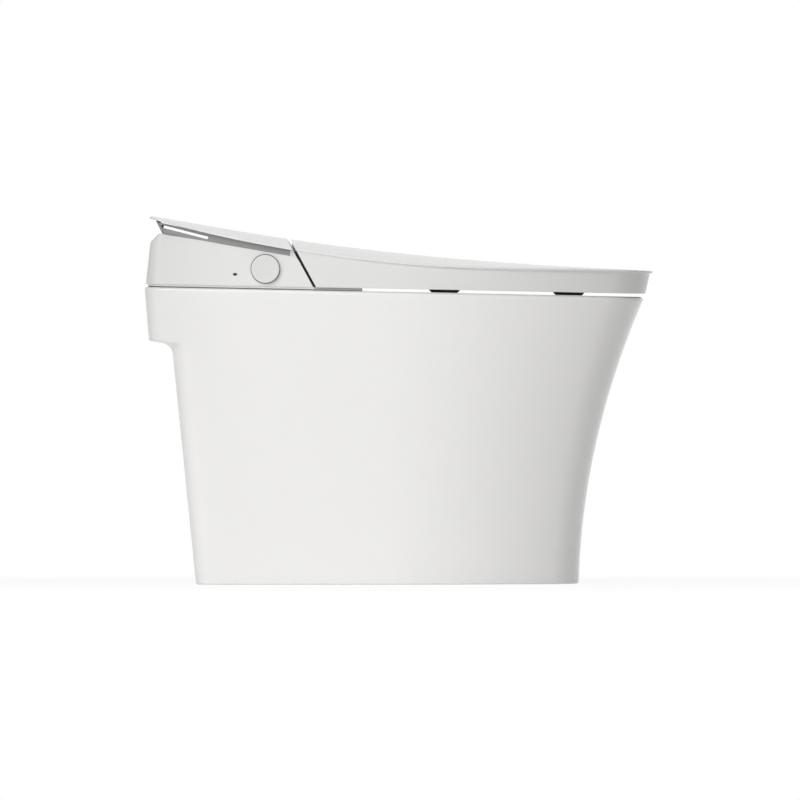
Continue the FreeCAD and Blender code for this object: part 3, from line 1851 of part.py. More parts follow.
def control_board():
    """The circuit board on four posts, with its relays and chips."""
    card = block(
        "board_card",
        ("board_near_x", "board_far_x"),
        ("board_front", "board_rear"),
        ("deck_top + 4", "deck_top + 5.6"),
    )
    pieces = [card]
    for side, x in (("near", "board_near_x + 4"), ("far", "board_far_x - 4")):
        for end, y in (("front", "board_front + 4"), ("rear", "board_rear - 4")):
            pieces.append(rod(f"board_post_{side}_{end}", "Z", x, y, "deck_top", "2", "4.5"))
    for number in range(4):
        pieces.append(
            block(
                f"board_relay_{number}",
                ("board_near_x + 8", "board_near_x + 24"),
                (f"board_front + 12 + {number} * 24", f"board_front + 26 + {number} * 24"),
                ("deck_top + 5", "deck_top + 18"),
            )
        )
    return node("control_board", on_rim(fuse("board_solid", *pieces)))


def flush_pump():
    """The flushing pump that hangs in the well, with its outlet elbow below."""
    case = rod(
        "flush_case",
        "Z",
        "-flush_x",
        "flush_y",
        "-flush_depth",
        "flush_radius",
        "flush_depth + deck_top",
    )
    spout = rod("flush_spout", "Z", "-flush_x", "flush_y", "-flush_depth - 14", "11", "16")
    return node("flush_pump", on_rim(fuse("flush_solid", case, spout)))


def inlet_valve():
    """The supply valve, with its threaded nipple pointing down into the hollow foot."""
    case = block(
        "valve_case",
        ("valve_x - valve_half", "valve_x + valve_half"),
        ("valve_y - valve_half", "valve_y + valve_half"),
        ("-valve_depth", "deck_top"),
    )
    nipple = rod(
        "valve_nipple",
        "Z",
        "valve_x",
        "valve_y",
        "-valve_depth - nipple_length",
        "nipple_radius",
        "nipple_length + 2",
    )
    bore = rod(
        "valve_bore",
        "Z",
        "valve_x",
        "valve_y",
        "-valve_depth - nipple_length - 1",
        "nipple_bore_radius",
        "nipple_length + 9",
    )
    return node("inlet_valve", on_rim(cut("valve_cut", fuse("valve_solid", case, nipple), bore)))


def cable_gland():
    """The gland for the mains lead, under the tray."""
    nut = rod(
        "gland_nut",
        "Z",
        "gland_x",
        "gland_y",
        "deck_top - gland_length",
        "gland_radius",
        "gland_length",
    )
    bore = rod(
        "gland_bore",
        "Z",
        "gland_x",
        "gland_y",
        "deck_top - gland_length - 1",
        "gland_bore_radius",
        "gland_length + 2",
    )
    return node("cable_gland", on_rim(cut("gland_cut", nut, bore)))


def main():
    fill_sheet()
    ceramic_body()
    floor_gasket()
    base_gasket()
    base_plate()
    base_screws()
    housing_cover()
    rear_top_plate()
    plate_riser()
    for side, sign in hinge_sides():
        hinge_bracket(side, sign)
        lid_arm(side, sign)
        seat_arm(side, sign)
    hinge_damper("lid_damper", 1)
    hinge_damper("seat_damper", -1)
    hinge_shaft("lid_hinge_shaft", 1)
    hinge_shaft("seat_hinge_shaft", -1)
    lid_shell()
    lid_inner_panel()
    lid_bumpers()
    seat_tray()
    seat_cover()
    seat_heater()
    seat_bumpers()
    knob_cap()
    knob_shaft()
    knob_plunger()
    knob_encoder()
    indicator_lens()
    wand_guide()
    for use, sign, jets in (("rear", 1, 3), ("front", -1, 4)):
        wand(f"{use}_wand", sign)
        wand_tip(f"{use}_wand_tip", sign, jets)
        wand_pinion(f"{use}_pinion", sign)
        wand_motor(f"{use}_wand_motor", sign)
    works_tray()
    dryer_housing()
    dryer_flap()
    dryer_fan()
    dryer_motor()
    deodoriser_housing()
    deodoriser_fan()
    carbon_filter()
    water_heater()
    wash_pump()
    power_supply()
    control_board()
    flush_pump()
    inlet_valve()
    cable_gland()
    write_nodes()


def write_nodes():
    """Check every object and write each sub-part to its own file."""
    DOC.recompute()
    broken = [item.Name for item in DOC.Objects if {"Invalid", "Error"} & set(item.State)]
    if broken:
        raise RuntimeError(f"objects left broken: {broken}")
    os.makedirs("parts", exist_ok=True)
    for item in NODES:
        if item.Shape.isNull() or not item.Shape.isValid() or item.Shape.Volume <= 0:
            raise RuntimeError(f"{item.Label} has no sound shape")
    for item in NODES:
        item.Shape.exportStep(f"parts/{item.Label}.step")


main()
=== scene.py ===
import json
import math

import bpy
import numpy as np
from bpy.props import FloatProperty, FloatVectorProperty, PointerProperty
from bpy.types import Operator, Panel, PropertyGroup
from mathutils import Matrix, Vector


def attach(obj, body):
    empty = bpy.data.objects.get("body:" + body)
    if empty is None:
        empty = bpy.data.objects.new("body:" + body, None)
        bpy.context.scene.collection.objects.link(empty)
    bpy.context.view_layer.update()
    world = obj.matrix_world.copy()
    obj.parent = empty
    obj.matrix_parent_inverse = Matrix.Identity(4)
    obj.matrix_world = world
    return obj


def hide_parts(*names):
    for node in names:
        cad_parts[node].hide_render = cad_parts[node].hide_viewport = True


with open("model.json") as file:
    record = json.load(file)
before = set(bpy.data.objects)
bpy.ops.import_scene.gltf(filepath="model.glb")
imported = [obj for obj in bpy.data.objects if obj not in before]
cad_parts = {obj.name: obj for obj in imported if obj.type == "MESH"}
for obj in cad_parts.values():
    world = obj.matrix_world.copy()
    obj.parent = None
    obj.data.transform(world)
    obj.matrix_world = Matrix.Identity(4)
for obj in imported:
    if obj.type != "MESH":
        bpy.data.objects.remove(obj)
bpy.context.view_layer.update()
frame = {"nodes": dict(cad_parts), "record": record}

bl_info = {
    "name": "Washing toilet",
    "version": (1, 0, 0),
    "blender": (4, 5, 0),
    "location": "View3D > Sidebar > Toilet",
    "description": "A one-piece toilet with a heated washing seat, built as parametric surfaces",
    "category": "Add Mesh",
}

MM = 0.001


# ---------------------------------------------------------------- settings


def length(name, description, default):
    return FloatProperty(
        name=name, description=description, default=default, unit="LENGTH", subtype="DISTANCE", precision=4
    )


def colour(name, description, default):
    return FloatVectorProperty(
        name=name, description=description, default=default, size=3, min=0, max=1, subtype="COLOR"
    )


class ToiletBodySizes(PropertyGroup):
    rim_height: length("Rim height", "Height of the ceramic rim at the middle of the length", 0.3965)
    rim_half_width: length("Rim half width", "Half the width of the ceramic at the rim", 0.19)
    rim_front: length("Rim reach", "How far the rim reaches forward", 0.3369)
    foot_half_width: length("Foot half width", "Half the width of the ceramic at the floor", 0.15)
    foot_front: length("Foot reach", "How far the foot reaches forward", 0.245)
    foot_rear: length("Foot back", "How far the foot reaches back", 0.275)
    wall: length("Skirt wall", "Thickness of the ceramic skirt", 0.011)
    basin_half_width: length("Basin half width", "Half the width of the basin's mouth", 0.126)
    basin_front: length("Basin reach", "How far the basin's mouth reaches forward", 0.266)
    basin_rear: length("Basin back", "How far the basin's mouth reaches back", 0.112)
    sump_height: length("Sump height", "Height of the basin's floor", 0.124)
    trap_radius: length("Trap radius", "Inner radius of the waste way", 0.026)


class ToiletTopSizes(PropertyGroup):
    plate_half_width: length("Plate half width", "Half the width of lid and rear plate", 0.198)
    plate_front: length("Plate reach", "How far the lid reaches forward", 0.345)
    plate_rear: length("Plate back", "How far the rear plate reaches back", 0.337)
    plate_thickness: length("Plate thickness", "Thickness of the crowned sheets", 0.0032)
    housing_half_width: length("Housing half width", "Half the width of the rear housing", 0.19)
    seat_half_width: length("Seat half width", "Half the width of the seat", 0.184)
    seat_front: length("Seat reach", "How far the seat reaches forward", 0.327)
    seat_rear: length("Seat back", "How far the seat reaches back", 0.104)
    hole_half_width: length("Seat hole half width", "Half the width of the hole in the seat", 0.106)
    hole_front: length("Seat hole reach", "How far the hole reaches forward", 0.232)
    hole_rear: length("Seat hole back", "How far the hole reaches back", 0.05)
    knob_radius: length("Knob radius", "Radius of the side knob", 0.0191)


class ToiletColours(PropertyGroup):
    glaze: colour("Glaze", "Colour of the glazed ceramic", (0.93, 0.924, 0.908))
    plastic: colour("Plastic", "Colour of housing, lid and seat", (0.815, 0.813, 0.803))
    # Brightened, this colour is also the base plate's wing grey, which is painted shade under the lid.
    strip: colour("Strip", "Colour of the recessed strips and the base plate", (0.31, 0.31, 0.31))
    rubber: colour("Rubber", "Colour of the pads and seals", (0.05, 0.05, 0.052))
    steel: colour("Steel", "Colour of shafts and screws", (0.6, 0.6, 0.61))
    brass: colour("Brass", "Colour of the supply valve", (0.75, 0.55, 0.26))
    dark: colour("Dark plastic", "Colour of the fans and pumps", (0.035, 0.035, 0.04))
    board: colour("Circuit board", "Colour of the solder mask", (0.02, 0.12, 0.05))


class ToiletStudio(PropertyGroup):
    ambient: FloatProperty(name="Ambient", description="World light on matt surfaces", default=0.17, min=0)
    key: FloatProperty(name="Key", description="Power of the lamp beside the camera", default=138, min=0)
    top: FloatProperty(name="Top", description="Power of the lamp overhead", default=28, min=0)
    distance: length("Camera distance", "How far the camera stands from the middle", 40.0)
    field: length("Field width", "Width of the picture at the object", 1.088)


def mm(value):
    """A length setting in millimetres."""
    return value / MM


# ---------------------------------------------------------------- surfaces
# Every shape is worked out in millimetres and put into its mesh in metres.


def ease(share):
    """Smooth step from 0 to 1."""
    share = np.clip(share, 0, 1)
    return share * share * (3 - 2 * share)


def arc(centre_x, centre_y, radius, start, end, count):
    """Points on a circle, from one angle up to but not including another."""
    angle = np.radians(start + (end - start) * np.arange(count) / count)
    return np.stack([centre_x + radius * np.cos(angle), centre_y + radius * np.sin(angle)], -1)


def run(start, end, count):
    """Points on a straight line, without its last one."""
    share = np.arange(count)[:, None] / count
    return np.array(start, float) * (1 - share) + np.array(end, float) * share


def end_arcs(half_width, along, nose):
    """Radius of the side arcs and the angle where they meet a nose arc, so that all are tangent."""
    side = (half_width**2 + along**2 - nose**2) / (2 * (half_width - nose))
    return side, math.degrees(math.atan2(along, side - half_width))


# Points of a plan outline: on a straight side, a rear corner, the back, a side arc and the nose.
D_COUNTS = (16, 12, 40, 36, 34)
WIDEST_Y = 20.0


def around_back(half_width, near, rear, corner, counts):
    """Three sides of a plan: back along one side, round two corners and forward along the other."""
    straight, bend, back = counts
    reach = half_width - corner
    return np.concatenate([
        run((half_width, near), (half_width, rear - corner), straight),
        arc(reach, rear - corner, corner, 0, 90, bend),
        run((reach, rear), (-reach, rear), back),
        arc(-reach, rear - corner, corner, 90, 180, bend),
        run((-half_width, rear - corner), (-half_width, near), straight),
    ])


def d_ring(half_width, front, rear, corner, nose, start=WIDEST_Y, counts=D_COUNTS):
    """Plan outline with a straight back: lines, two round corners and three tangent front arcs."""
    *back_counts, side_count, nose_count = counts
    side, meet = end_arcs(half_width, front + start - nose, nose)
    return np.concatenate([
        around_back(half_width, start, rear, corner, back_counts),
        arc(side - half_width, start, side, 180, 180 + meet, side_count),
        arc(0, nose - front, nose, 180 + meet, 360 - meet, nose_count),
        arc(half_width - side, start, side, 360 - meet, 360, side_count),
    ])


def round_rectangle(low_x, low_y, high_x, high_y, radius, count=6):
    """Outline of a rectangle with four round corners."""
    left, right, near, far = low_x + radius, high_x - radius, low_y + radius, high_y - radius
    return np.concatenate([
        arc(right, near, radius, -90, 0, count),
        arc(right, far, radius, 0, 90, count),
        arc(left, far, radius, 90, 180, count),
        arc(left, near, radius, 180, 270, count),
    ])


def oval(centre, half_width, half_height, count):
    """Points once round an ellipse."""
    return np.array(centre) + arc(0, 0, 1, 0, 360, count) * (half_width, half_height)


def egg_ring(angle, half_width, front, rear, nose, tail):
    """Points at each angle about the middle of an egg-shaped outline of six tangent arcs.

    The outline is worked out as arcs, and its distance from the middle is read off at each angle.
    """
    middle = (rear - front) / 2
    reach = (rear + front) / 2
    side, meet = end_arcs(half_width, reach - nose, nose)
    back, turn = end_arcs(half_width, reach - tail, tail)
    points = np.concatenate([
        arc(half_width - back, 0, back, 0, turn, 60),
        arc(0, reach - tail, tail, turn, 180 - turn, 90),
        arc(back - half_width, 0, back, 180 - turn, 180, 60),
        arc(side - half_width, 0, side, 180, 180 + meet, 60),
        arc(0, nose - reach, nose, 180 + meet, 360 - meet, 90),
        arc(half_width - side, 0, side, 360 - meet, 360, 60),
    ])
    known = np.arctan2(points[:, 1], points[:, 0])
    radius = np.interp(angle, known, np.hypot(*points.T), period=2 * math.pi)
    return np.stack([radius * np.cos(angle), middle + radius * np.sin(angle)], -1)


def lift(ring, height):
    """A plan ring as points in space, at one height or at a height for each point."""
    return np.column_stack([ring, np.broadcast_to(height, len(ring))])


def bezier(first, control, last, count):
    """Points on a quadratic curve."""
    share = np.linspace(0, 1, count)[:, None]
    first, control, last = (np.array(point, float) for point in (first, control, last))
    return first * (1 - share) ** 2 + 2 * control * share * (1 - share) + last * share**2


def shell(rings, torus=False):
    """Vertices, quads and triangles of a stack of rings.

    Quads join each ring to the next. A fan round the middle of the first and of the last ring
    closes the ends, or quads join the last ring to the first as on a torus.
    """
    rings = np.asarray(rings, float)
    rows, columns = rings.shape[:2]
    here = np.arange(rows if torus else rows - 1)[:, None]
    along = np.arange(columns)
    ahead = (along + 1) % columns
    level, below = here * columns, (here + 1) % rows * columns
    quads = np.stack([level + along, level + ahead, below + ahead, below + along], -1).reshape(-1, 4)
    vertices = rings.reshape(-1, 3)
    fans = np.empty((0, 3), int)
    if not torus:
        pole, last = len(vertices), (rows - 1) * columns
        fans = np.concatenate([
            np.stack([np.full(columns, pole), ahead, along], -1),
            np.stack([np.full(columns, pole + 1), last + along, last + ahead], -1),
        ])
        vertices = np.concatenate([vertices, rings[[0, -1]].mean(1)])
    return outward(vertices, quads, fans)


def outward(vertices, quads, fans):
    """Turn all faces round if the closed surface holds a negative volume."""
    corners = np.concatenate([quads[:, :3], fans, quads[:, [0, 2, 3]]])
    a, b, c = vertices[corners].transpose(1, 0, 2)
    if np.einsum("ij,ij->i", a, np.cross(b, c)).sum() < 0:
        quads, fans = quads[:, ::-1], fans[:, ::-1]
    return vertices, quads, fans


SHARP_ANGLE = 35


def make_mesh(name, shells, sharp=SHARP_ANGLE):
    """One mesh object from closed shells, smooth but for edges over an angle."""
    vertices, faces, base = [], [], 0
    for points, quads, fans in shells:
        vertices.append(points * MM)
        faces += (quads + base).tolist() + (fans + base).tolist()
        base += len(points)
    mesh = bpy.data.meshes.new(name)
    mesh.from_pydata(np.concatenate(vertices).tolist(), [], faces)
    mesh.validate()
    mesh.shade_smooth()
    mesh.set_sharp_from_angle(angle=math.radians(sharp))
    piece = bpy.data.objects.new(name, mesh)
    bpy.context.scene.collection.objects.link(piece)
    return piece


def carve(piece, *cutters):
    """Take closed cutters away from a piece, and remove them."""
    for cutter in cutters:
        step = piece.modifiers.new("carve", "BOOLEAN")
        step.object = cutter
        step.operation = "DIFFERENCE"
        step.solver = "EXACT"
        bpy.context.view_layer.objects.active = piece
        with bpy.context.temp_override(object=piece, active_object=piece):
            bpy.ops.object.modifier_apply(modifier=step.name)
        mesh = cutter.data
        bpy.data.objects.remove(cutter)
        bpy.data.meshes.remove(mesh)
    piece.data.shade_smooth()
    piece.data.set_sharp_from_angle(angle=math.radians(SHARP_ANGLE))
    return piece


def settle(piece, body, material, slot, *nodes):
    """Give a piece its material and its body, and hide the nodes it stands for; its slot is not used."""
    piece.data.materials.clear()
    piece.data.materials.append(material)
    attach(piece, body)
    if nodes:
        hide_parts(*nodes)
    return piece


def block(low, high, radius):
    """A box with round upright corners, as two rings of a rounded rectangle."""
    ring = round_rectangle(*low[:2], *high[:2], radius)
    return shell([lift(ring, low[2]), lift(ring, high[2])])


def prism(polygon, low_x, high_x):
    """A polygon in the middle plane, as (y, z) points, carried across from one X to another."""
    polygon = np.array(polygon, float)
    return shell([np.column_stack([np.full(len(polygon), x), polygon]) for x in (low_x, high_x)])


def turned(profile, centre, count=96):
    """Rings of a profile of (radius, along) pairs turned round a line along X."""
    angle = 2 * math.pi * np.arange(count) / count
    radius, along = np.asarray(profile, float).T[:, :, None]
    y, z = centre
    return np.stack([along + 0 * angle, y + radius * np.cos(angle), z + radius * np.sin(angle)], -1)


def rounding(radius, degrees):
    """Pairs along a quarter round from its foot to its widest point: how far in, and how far up."""
    angle = np.radians(degrees)
    return radius * (1 - np.stack([np.sin(angle), np.cos(angle)], -1))


# ---------------------------------------------------------------- the object's own curves


RIM_SLOPE = 0.0205
SEAM_Y, SEAM_Z, SEAM_TAN = 113.9, 403.2, math.tan(math.radians(28.55))
SEAM_GAP = 2.0
HOUSING_TOP_Y, HOUSING_TOP_Z, HOUSING_TOP_SLOPE = 145, 444.6, 0.1734
TOP_LENGTH, TOP_FRONT_Z, TOP_CLIMB, TOP_REACH = 690, 424.2, 77, 206
KNOB_AT, LENS_AT = (180.5, 427.7), (221.6, 420.4)
LENS_HALF_WIDTH, LENS_HALF_HEIGHT, LENS_PLAY = 3.0, 1.9, 0.05


def seam(height):
    """Where the slanted joint between housing and lid is, at a height."""
    return SEAM_Y + (height - SEAM_Z) * SEAM_TAN


def housing_top(y):
    """Height of the housing's sloping top."""
    return HOUSING_TOP_Z + (y - HOUSING_TOP_Y) * HOUSING_TOP_SLOPE


def crown(x, y):
    """Height of the crowned top: an edge line that rises to the back, and an arc across it.

    With s as the share of the length from the front, the line climbs as s^2.65, and the arc
    rises over it in the middle by 0.8 - 2.5 s + 14 sin(pi s^1.45)^0.6.
    """
    share = np.clip((y + TOP_LENGTH / 2) / TOP_LENGTH, 0, 1)
    inner = np.clip(share, 0, 0.99)
    rise = 0.8 - 2.5 * inner + 14 * np.sin(math.pi * inner**1.45) ** 0.6
    radius = (TOP_REACH**2 + rise**2) / (2 * rise)
    return TOP_FRONT_Z + TOP_CLIMB * share**2.65 + np.sqrt(radius**2 - x**2) - (radius - rise)


def rim(y, up=0.0):
    """Height of the sloping rim plane, or of a plane over it."""
    return mm(bpy.context.scene.toilet_body.rim_height) + RIM_SLOPE * y + up


# ---------------------------------------------------------------- materials


def nodes_of(name):
    """A new material with its tree, its shader and its texture coordinates."""
    material = bpy.data.materials.new(name)
    material.use_nodes = True
    tree = material.node_tree
    shader = tree.nodes["Principled BSDF"]
    place = tree.nodes.new("ShaderNodeTexCoord")
    return material, tree, shader, place


def noise(tree, place, scale, detail=4.0, stretch=(1, 1, 1)):
    """Noise on object coordinates, at a number of waves in a metre."""
    mapping = tree.nodes.new("ShaderNodeMapping")
    mapping.inputs["Scale"].default_value = stretch
    texture = tree.nodes.new("ShaderNodeTexNoise")
    texture.inputs["Scale"].default_value = scale
    texture.inputs["Detail"].default_value = detail
    tree.links.new(place.outputs["Object"], mapping.inputs["Vector"])
    tree.links.new(mapping.outputs["Vector"], texture.inputs["Vector"])
    return texture.outputs["Fac"]


def spread(tree, value, low, high):
    """Map a value from 0..1 to a range."""
    node = tree.nodes.new("ShaderNodeMapRange")
    node.inputs["To Min"].default_value = low
    node.inputs["To Max"].default_value = high
    tree.links.new(value, node.inputs["Value"])
    return node.outputs["Result"]


def calculate(tree, operation, *values):
    """A Math node over sockets and plain numbers."""
    node = tree.nodes.new("ShaderNodeMath")
    node.operation = operation
    for socket, value in zip(node.inputs, values):
        if isinstance(value, (int, float)):
            socket.default_value = value
        else:
            tree.links.new(value, socket)
    return node.outputs[0]


def mottle(tree, value, tint, amount):
    """A colour that a value darkens by up to an amount."""
    node = tree.nodes.new("ShaderNodeMix")
    node.data_type = "RGBA"
    node.inputs["A"].default_value = (*(part * (1 - amount) for part in tint), 1)
    node.inputs["B"].default_value = (*tint, 1)
    tree.links.new(value, node.inputs["Factor"])
    return node.outputs["Result"]


def relief(tree, shader, value, depth, strength=1.0):
    """Bump from a value, with its depth in metres."""
    bump = tree.nodes.new("ShaderNodeBump")
    bump.inputs["Distance"].default_value = depth
    bump.inputs["Strength"].default_value = strength
    tree.links.new(value, bump.inputs["Height"])
    tree.links.new(bump.outputs["Normal"], shader.inputs["Normal"])


def glazed_ceramic(tint):
    """Vitreous glaze: a hard clear gloss over a body with a very faint ripple."""
    material, tree, shader, place = nodes_of("glazed_ceramic")
    broad = noise(tree, place, 9, 3)
    fine = noise(tree, place, 55, 2)
    tree.links.new(mottle(tree, broad, tint, 0.012), shader.inputs["Base Color"])
    tree.links.new(spread(tree, fine, 0.13, 0.2), shader.inputs["Roughness"])
    shader.inputs["IOR"].default_value = 1.5
    shader.inputs["Coat Weight"].default_value = 0.25
    shader.inputs["Coat Roughness"].default_value = 0.06
    relief(tree, shader, fine, 0.00015, 0.35)
    return material


def moulded_plastic(name, tint, rough=0.3, grain=1800, depth=0.00003, coat=0.0, variation=0.02):
    """Injection-moulded plastic: fine grain, soft gloss and a slight drift of colour."""
    material, tree, shader, place = nodes_of(name)
    broad = noise(tree, place, 7, 3)
    fine = noise(tree, place, grain, 2)
    tree.links.new(mottle(tree, broad, tint, variation), shader.inputs["Base Color"])
    tree.links.new(spread(tree, fine, rough * 0.85, rough * 1.15), shader.inputs["Roughness"])
    shader.inputs["IOR"].default_value = 1.49
    shader.inputs["Coat Weight"].default_value = coat
    shader.inputs["Coat Roughness"].default_value = 0.08
    relief(tree, shader, fine, depth, 0.5)
    return material


def rubber(name, tint):
    """Matt rubber with a dusty bloom."""
    material, tree, shader, place = nodes_of(name)
    dust = noise(tree, place, 260, 5)
    tree.links.new(mottle(tree, dust, tint, 0.35), shader.inputs["Base Color"])
    tree.links.new(spread(tree, dust, 0.62, 0.85), shader.inputs["Roughness"])
    relief(tree, shader, dust, 0.0001, 0.4)
    return material


def metal(name, tint, rough, stretch):
    """Drawn or turned metal: grain lines along one axis."""
    material, tree, shader, place = nodes_of(name)
    lines = noise(tree, place, 900, 3, stretch)
    tree.links.new(mottle(tree, lines, tint, 0.12), shader.inputs["Base Color"])
    tree.links.new(spread(tree, lines, rough * 0.7, rough * 1.3), shader.inputs["Roughness"])
    shader.inputs["Metallic"].default_value = 1
    relief(tree, shader, lines, 0.00002, 0.5)
    return material


def circuit_board(tint):
    """Green solder mask over straight copper tracks."""
    material, tree, shader, place = nodes_of("circuit_board")
    tracks = tree.nodes.new("ShaderNodeTexBrick")
    tracks.inputs["Scale"].default_value = 120
    tracks.inputs["Mortar Size"].default_value = 0.06
    tracks.inputs["Color1"].default_value = (*tint, 1)
    tracks.inputs["Color2"].default_value = (*(part * 0.8 for part in tint), 1)
    tracks.inputs["Mortar"].default_value = (*(part * 1.9 for part in tint), 1)
    tree.links.new(place.outputs["Object"], tracks.inputs["Vector"])
    tree.links.new(tracks.outputs["Color"], shader.inputs["Base Color"])
    tree.links.new(spread(tree, tracks.outputs["Fac"], 0.3, 0.22), shader.inputs["Roughness"])
    relief(tree, shader, tracks.outputs["Fac"], 0.00004)
    return material


def carbon_grains(tint):
    """Crushed carbon: angular grains a millimetre or two across."""
    material, tree, shader, place = nodes_of("carbon_grains")
    grains = tree.nodes.new("ShaderNodeTexVoronoi")
    grains.inputs["Scale"].default_value = 600
    tree.links.new(place.outputs["Object"], grains.inputs["Vector"])
    tree.links.new(mottle(tree, grains.outputs["Distance"], tint, 0.6), shader.inputs["Base Color"])
    tree.links.new(spread(tree, grains.outputs["Distance"], 0.5, 0.85), shader.inputs["Roughness"])
    relief(tree, shader, grains.outputs["Distance"], 0.0008)
    return material


def heating_film(tint):
    """Amber film with the winding heater track showing as fine waves."""
    material, tree, shader, place = nodes_of("heating_film")
    waves = tree.nodes.new("ShaderNodeTexWave")
    waves.inputs["Scale"].default_value = 60
    waves.inputs["Distortion"].default_value = 1.5
    tree.links.new(place.outputs["Object"], waves.inputs["Vector"])
    tree.links.new(mottle(tree, waves.outputs["Fac"], tint, 0.45), shader.inputs["Base Color"])
    tree.links.new(spread(tree, waves.outputs["Fac"], 0.3, 0.45), shader.inputs["Roughness"])
    relief(tree, shader, waves.outputs["Fac"], 0.00005)
    return material


def choose(tree, value, low, high):
    """A colour or another by a value of 0 or 1; both are sockets or plain colours."""
    node = tree.nodes.new("ShaderNodeMix")
    node.data_type = "RGBA"
    tree.links.new(value, node.inputs["Factor"])
    for name, tint in (("A", low), ("B", high)):
        if isinstance(tint, tuple):
            node.inputs[name].default_value = (*tint, 1)
        else:
            tree.links.new(tint, node.inputs[name])
    return node.outputs["Result"]


# Below the first height the base plate is painted dark, a painted shadow line where it meets the ceramic;
# forward of the second (in Y) it is painted grey, painted shade where the lid shades its wings.
FOOT_SHADOW_TOP, WING_END = 0.39795, 0.1145  # metres, as Object coordinates are


def base_plate_painted_shade(pale, grey):
    """The base plate's plastic with painted shade: pale under the housing, painted grey on its wings for the
    shade under the lid, and a dark painted shadow line at its lower edge.
    """
    material = moulded_plastic("base_plate_painted_shade", pale, 0.4, 2600, 0.00004)
    tree = material.node_tree
    shader = tree.nodes["Principled BSDF"]
    place = tree.nodes.new("ShaderNodeTexCoord")
    parts = tree.nodes.new("ShaderNodeSeparateXYZ")
    tree.links.new(place.outputs["Object"], parts.inputs[0])
    height = calculate(tree, "MULTIPLY_ADD", parts.outputs["Y"], -RIM_SLOPE, parts.outputs["Z"])
    # Dark below this height: a painted shadow line along the plate's foot.
    foot = calculate(tree, "GREATER_THAN", height, FOOT_SHADOW_TOP)
    under_housing = calculate(tree, "GREATER_THAN", parts.outputs["Y"], WING_END)
    # The grey forward of the housing is painted shade from the lid; the dark foot colour is a painted shadow
    # line.
    tint = choose(tree, under_housing, grey, choose(tree, foot, tuple(part * 0.3 for part in pale), pale))
    tree.links.new(tint, shader.inputs["Base Color"])
    return material


FINISHES = {}


def finish_for(slot):
    """The material of a record slot, made once."""
    if not FINISHES:
        tints = bpy.context.scene.toilet_colours
        plastic, strip = tuple(tints.plastic), tuple(tints.strip)
        knob_tint = tuple(0.93 * part for part in plastic)
        FINISHES.update(
            glazed_ceramic=glazed_ceramic(tuple(tints.glaze)),
            white_gloss=moulded_plastic("white_gloss", plastic, 0.26, 900, 0.00002, 0.12, 0.01),
            white_plastic=moulded_plastic("white_plastic", plastic, 0.34, 2200, 0.00003, 0.0, 0.015),
            grey_plastic=moulded_plastic("grey_plastic", strip, 0.45, 2600, 0.00004),
            dark_plastic=moulded_plastic("dark_plastic", tuple(tints.dark), 0.45, 2600, 0.00005, 0.0, 0.2),
            natural_plastic=moulded_plastic("natural_plastic", (0.66, 0.62, 0.5), 0.4, 1500, 0.00003),
            dark_rubber=rubber("dark_rubber", tuple(tints.rubber)),
            grey_rubber=rubber("grey_rubber", (0.13, 0.13, 0.13)),
            # Near black for the joint lips: painted shade in the slanted joint.
            joint_black=rubber("joint_black", (0.012, 0.012, 0.012)),
            knob_satin=moulded_plastic("knob_satin", knob_tint, 0.3, 2200, 0.00003),
            steel=metal("steel", tuple(tints.steel), 0.3, (0.05, 1, 1)),
            steel_case=moulded_plastic("steel_case", (0.2, 0.21, 0.23), 0.4, 700, 0.00006, 0.1, 0.08),
            brass=metal("brass", tuple(tints.brass), 0.35, (1, 1, 0.08)),
            copper_film=heating_film((0.45, 0.17, 0.03)),
            board_green=circuit_board(tuple(tints.board)),
            carbon=carbon_grains((0.02, 0.02, 0.02)),
            smoked_lens=moulded_plastic("smoked_lens", (0.006, 0.006, 0.007), 0.4, 300, 0.00001, 0.0, 0.1),
        )
    return FINISHES[slot]


# ---------------------------------------------------------------- ceramic body


def flare(share):
    """How far a section of the skirt stands out of the foot, as a share of the whole flare."""
    return 0.1 * share + 0.9 * share**2


# Heights of the skirt's lowest row, of both ends of the rear ledge, and where the rim's slope sets in.
FOOT_ROW, LEDGE_FOOT, LEDGE_HEAD, SLANT_FOOT = 2.5, 312.0, 340.0, 335.0
# Radii of the rim's outer edge and of the basin's lip.
EDGE_ROLL, LIP_ROLL = 4.0, 8.0
# How far the back goes out for a millimetre up, under and over the ledge.
FOOT_LEAN, SHELF_LEAN = 0.1, 0.093
SHELF_BACK, SHELF_Z, REAR_EDGE = 338.7, 333.5, 344.6
FRONT_FALL, REAR_CORNER, FRONT_NOSE, NOSE_FLARE = 6.8, 24, 92, 26
BLEND_START, BLEND_LENGTH = 100, 76
RIM_MIDDLE, OUTLET_Y = -77.0, 45
BASIN_NOSE, BASIN_TAIL, BASIN_FLOOR = 92, 96, 0.28
# Corners (y, z) of the waste way's centre line, from the basin to the floor.
WASTE_CORNERS = np.array([
    (-18, 208), (-18, 150), (55, 150), (120, 256), (205, 256), (205, 78), (45, 66), (45, 13),
], float)
WASTE_BEND, WASTE_WALL, BASIN_WALL, DECK = 40.0, 10, 12.0, 24


def slant(height, rim_height):
    """Share of the rim's slope that a row of the skirt takes: none up to the ledge, all at the rim."""
    return np.clip((height - SLANT_FOOT) / (rim_height - EDGE_ROLL - SLANT_FOOT), 0, 1)


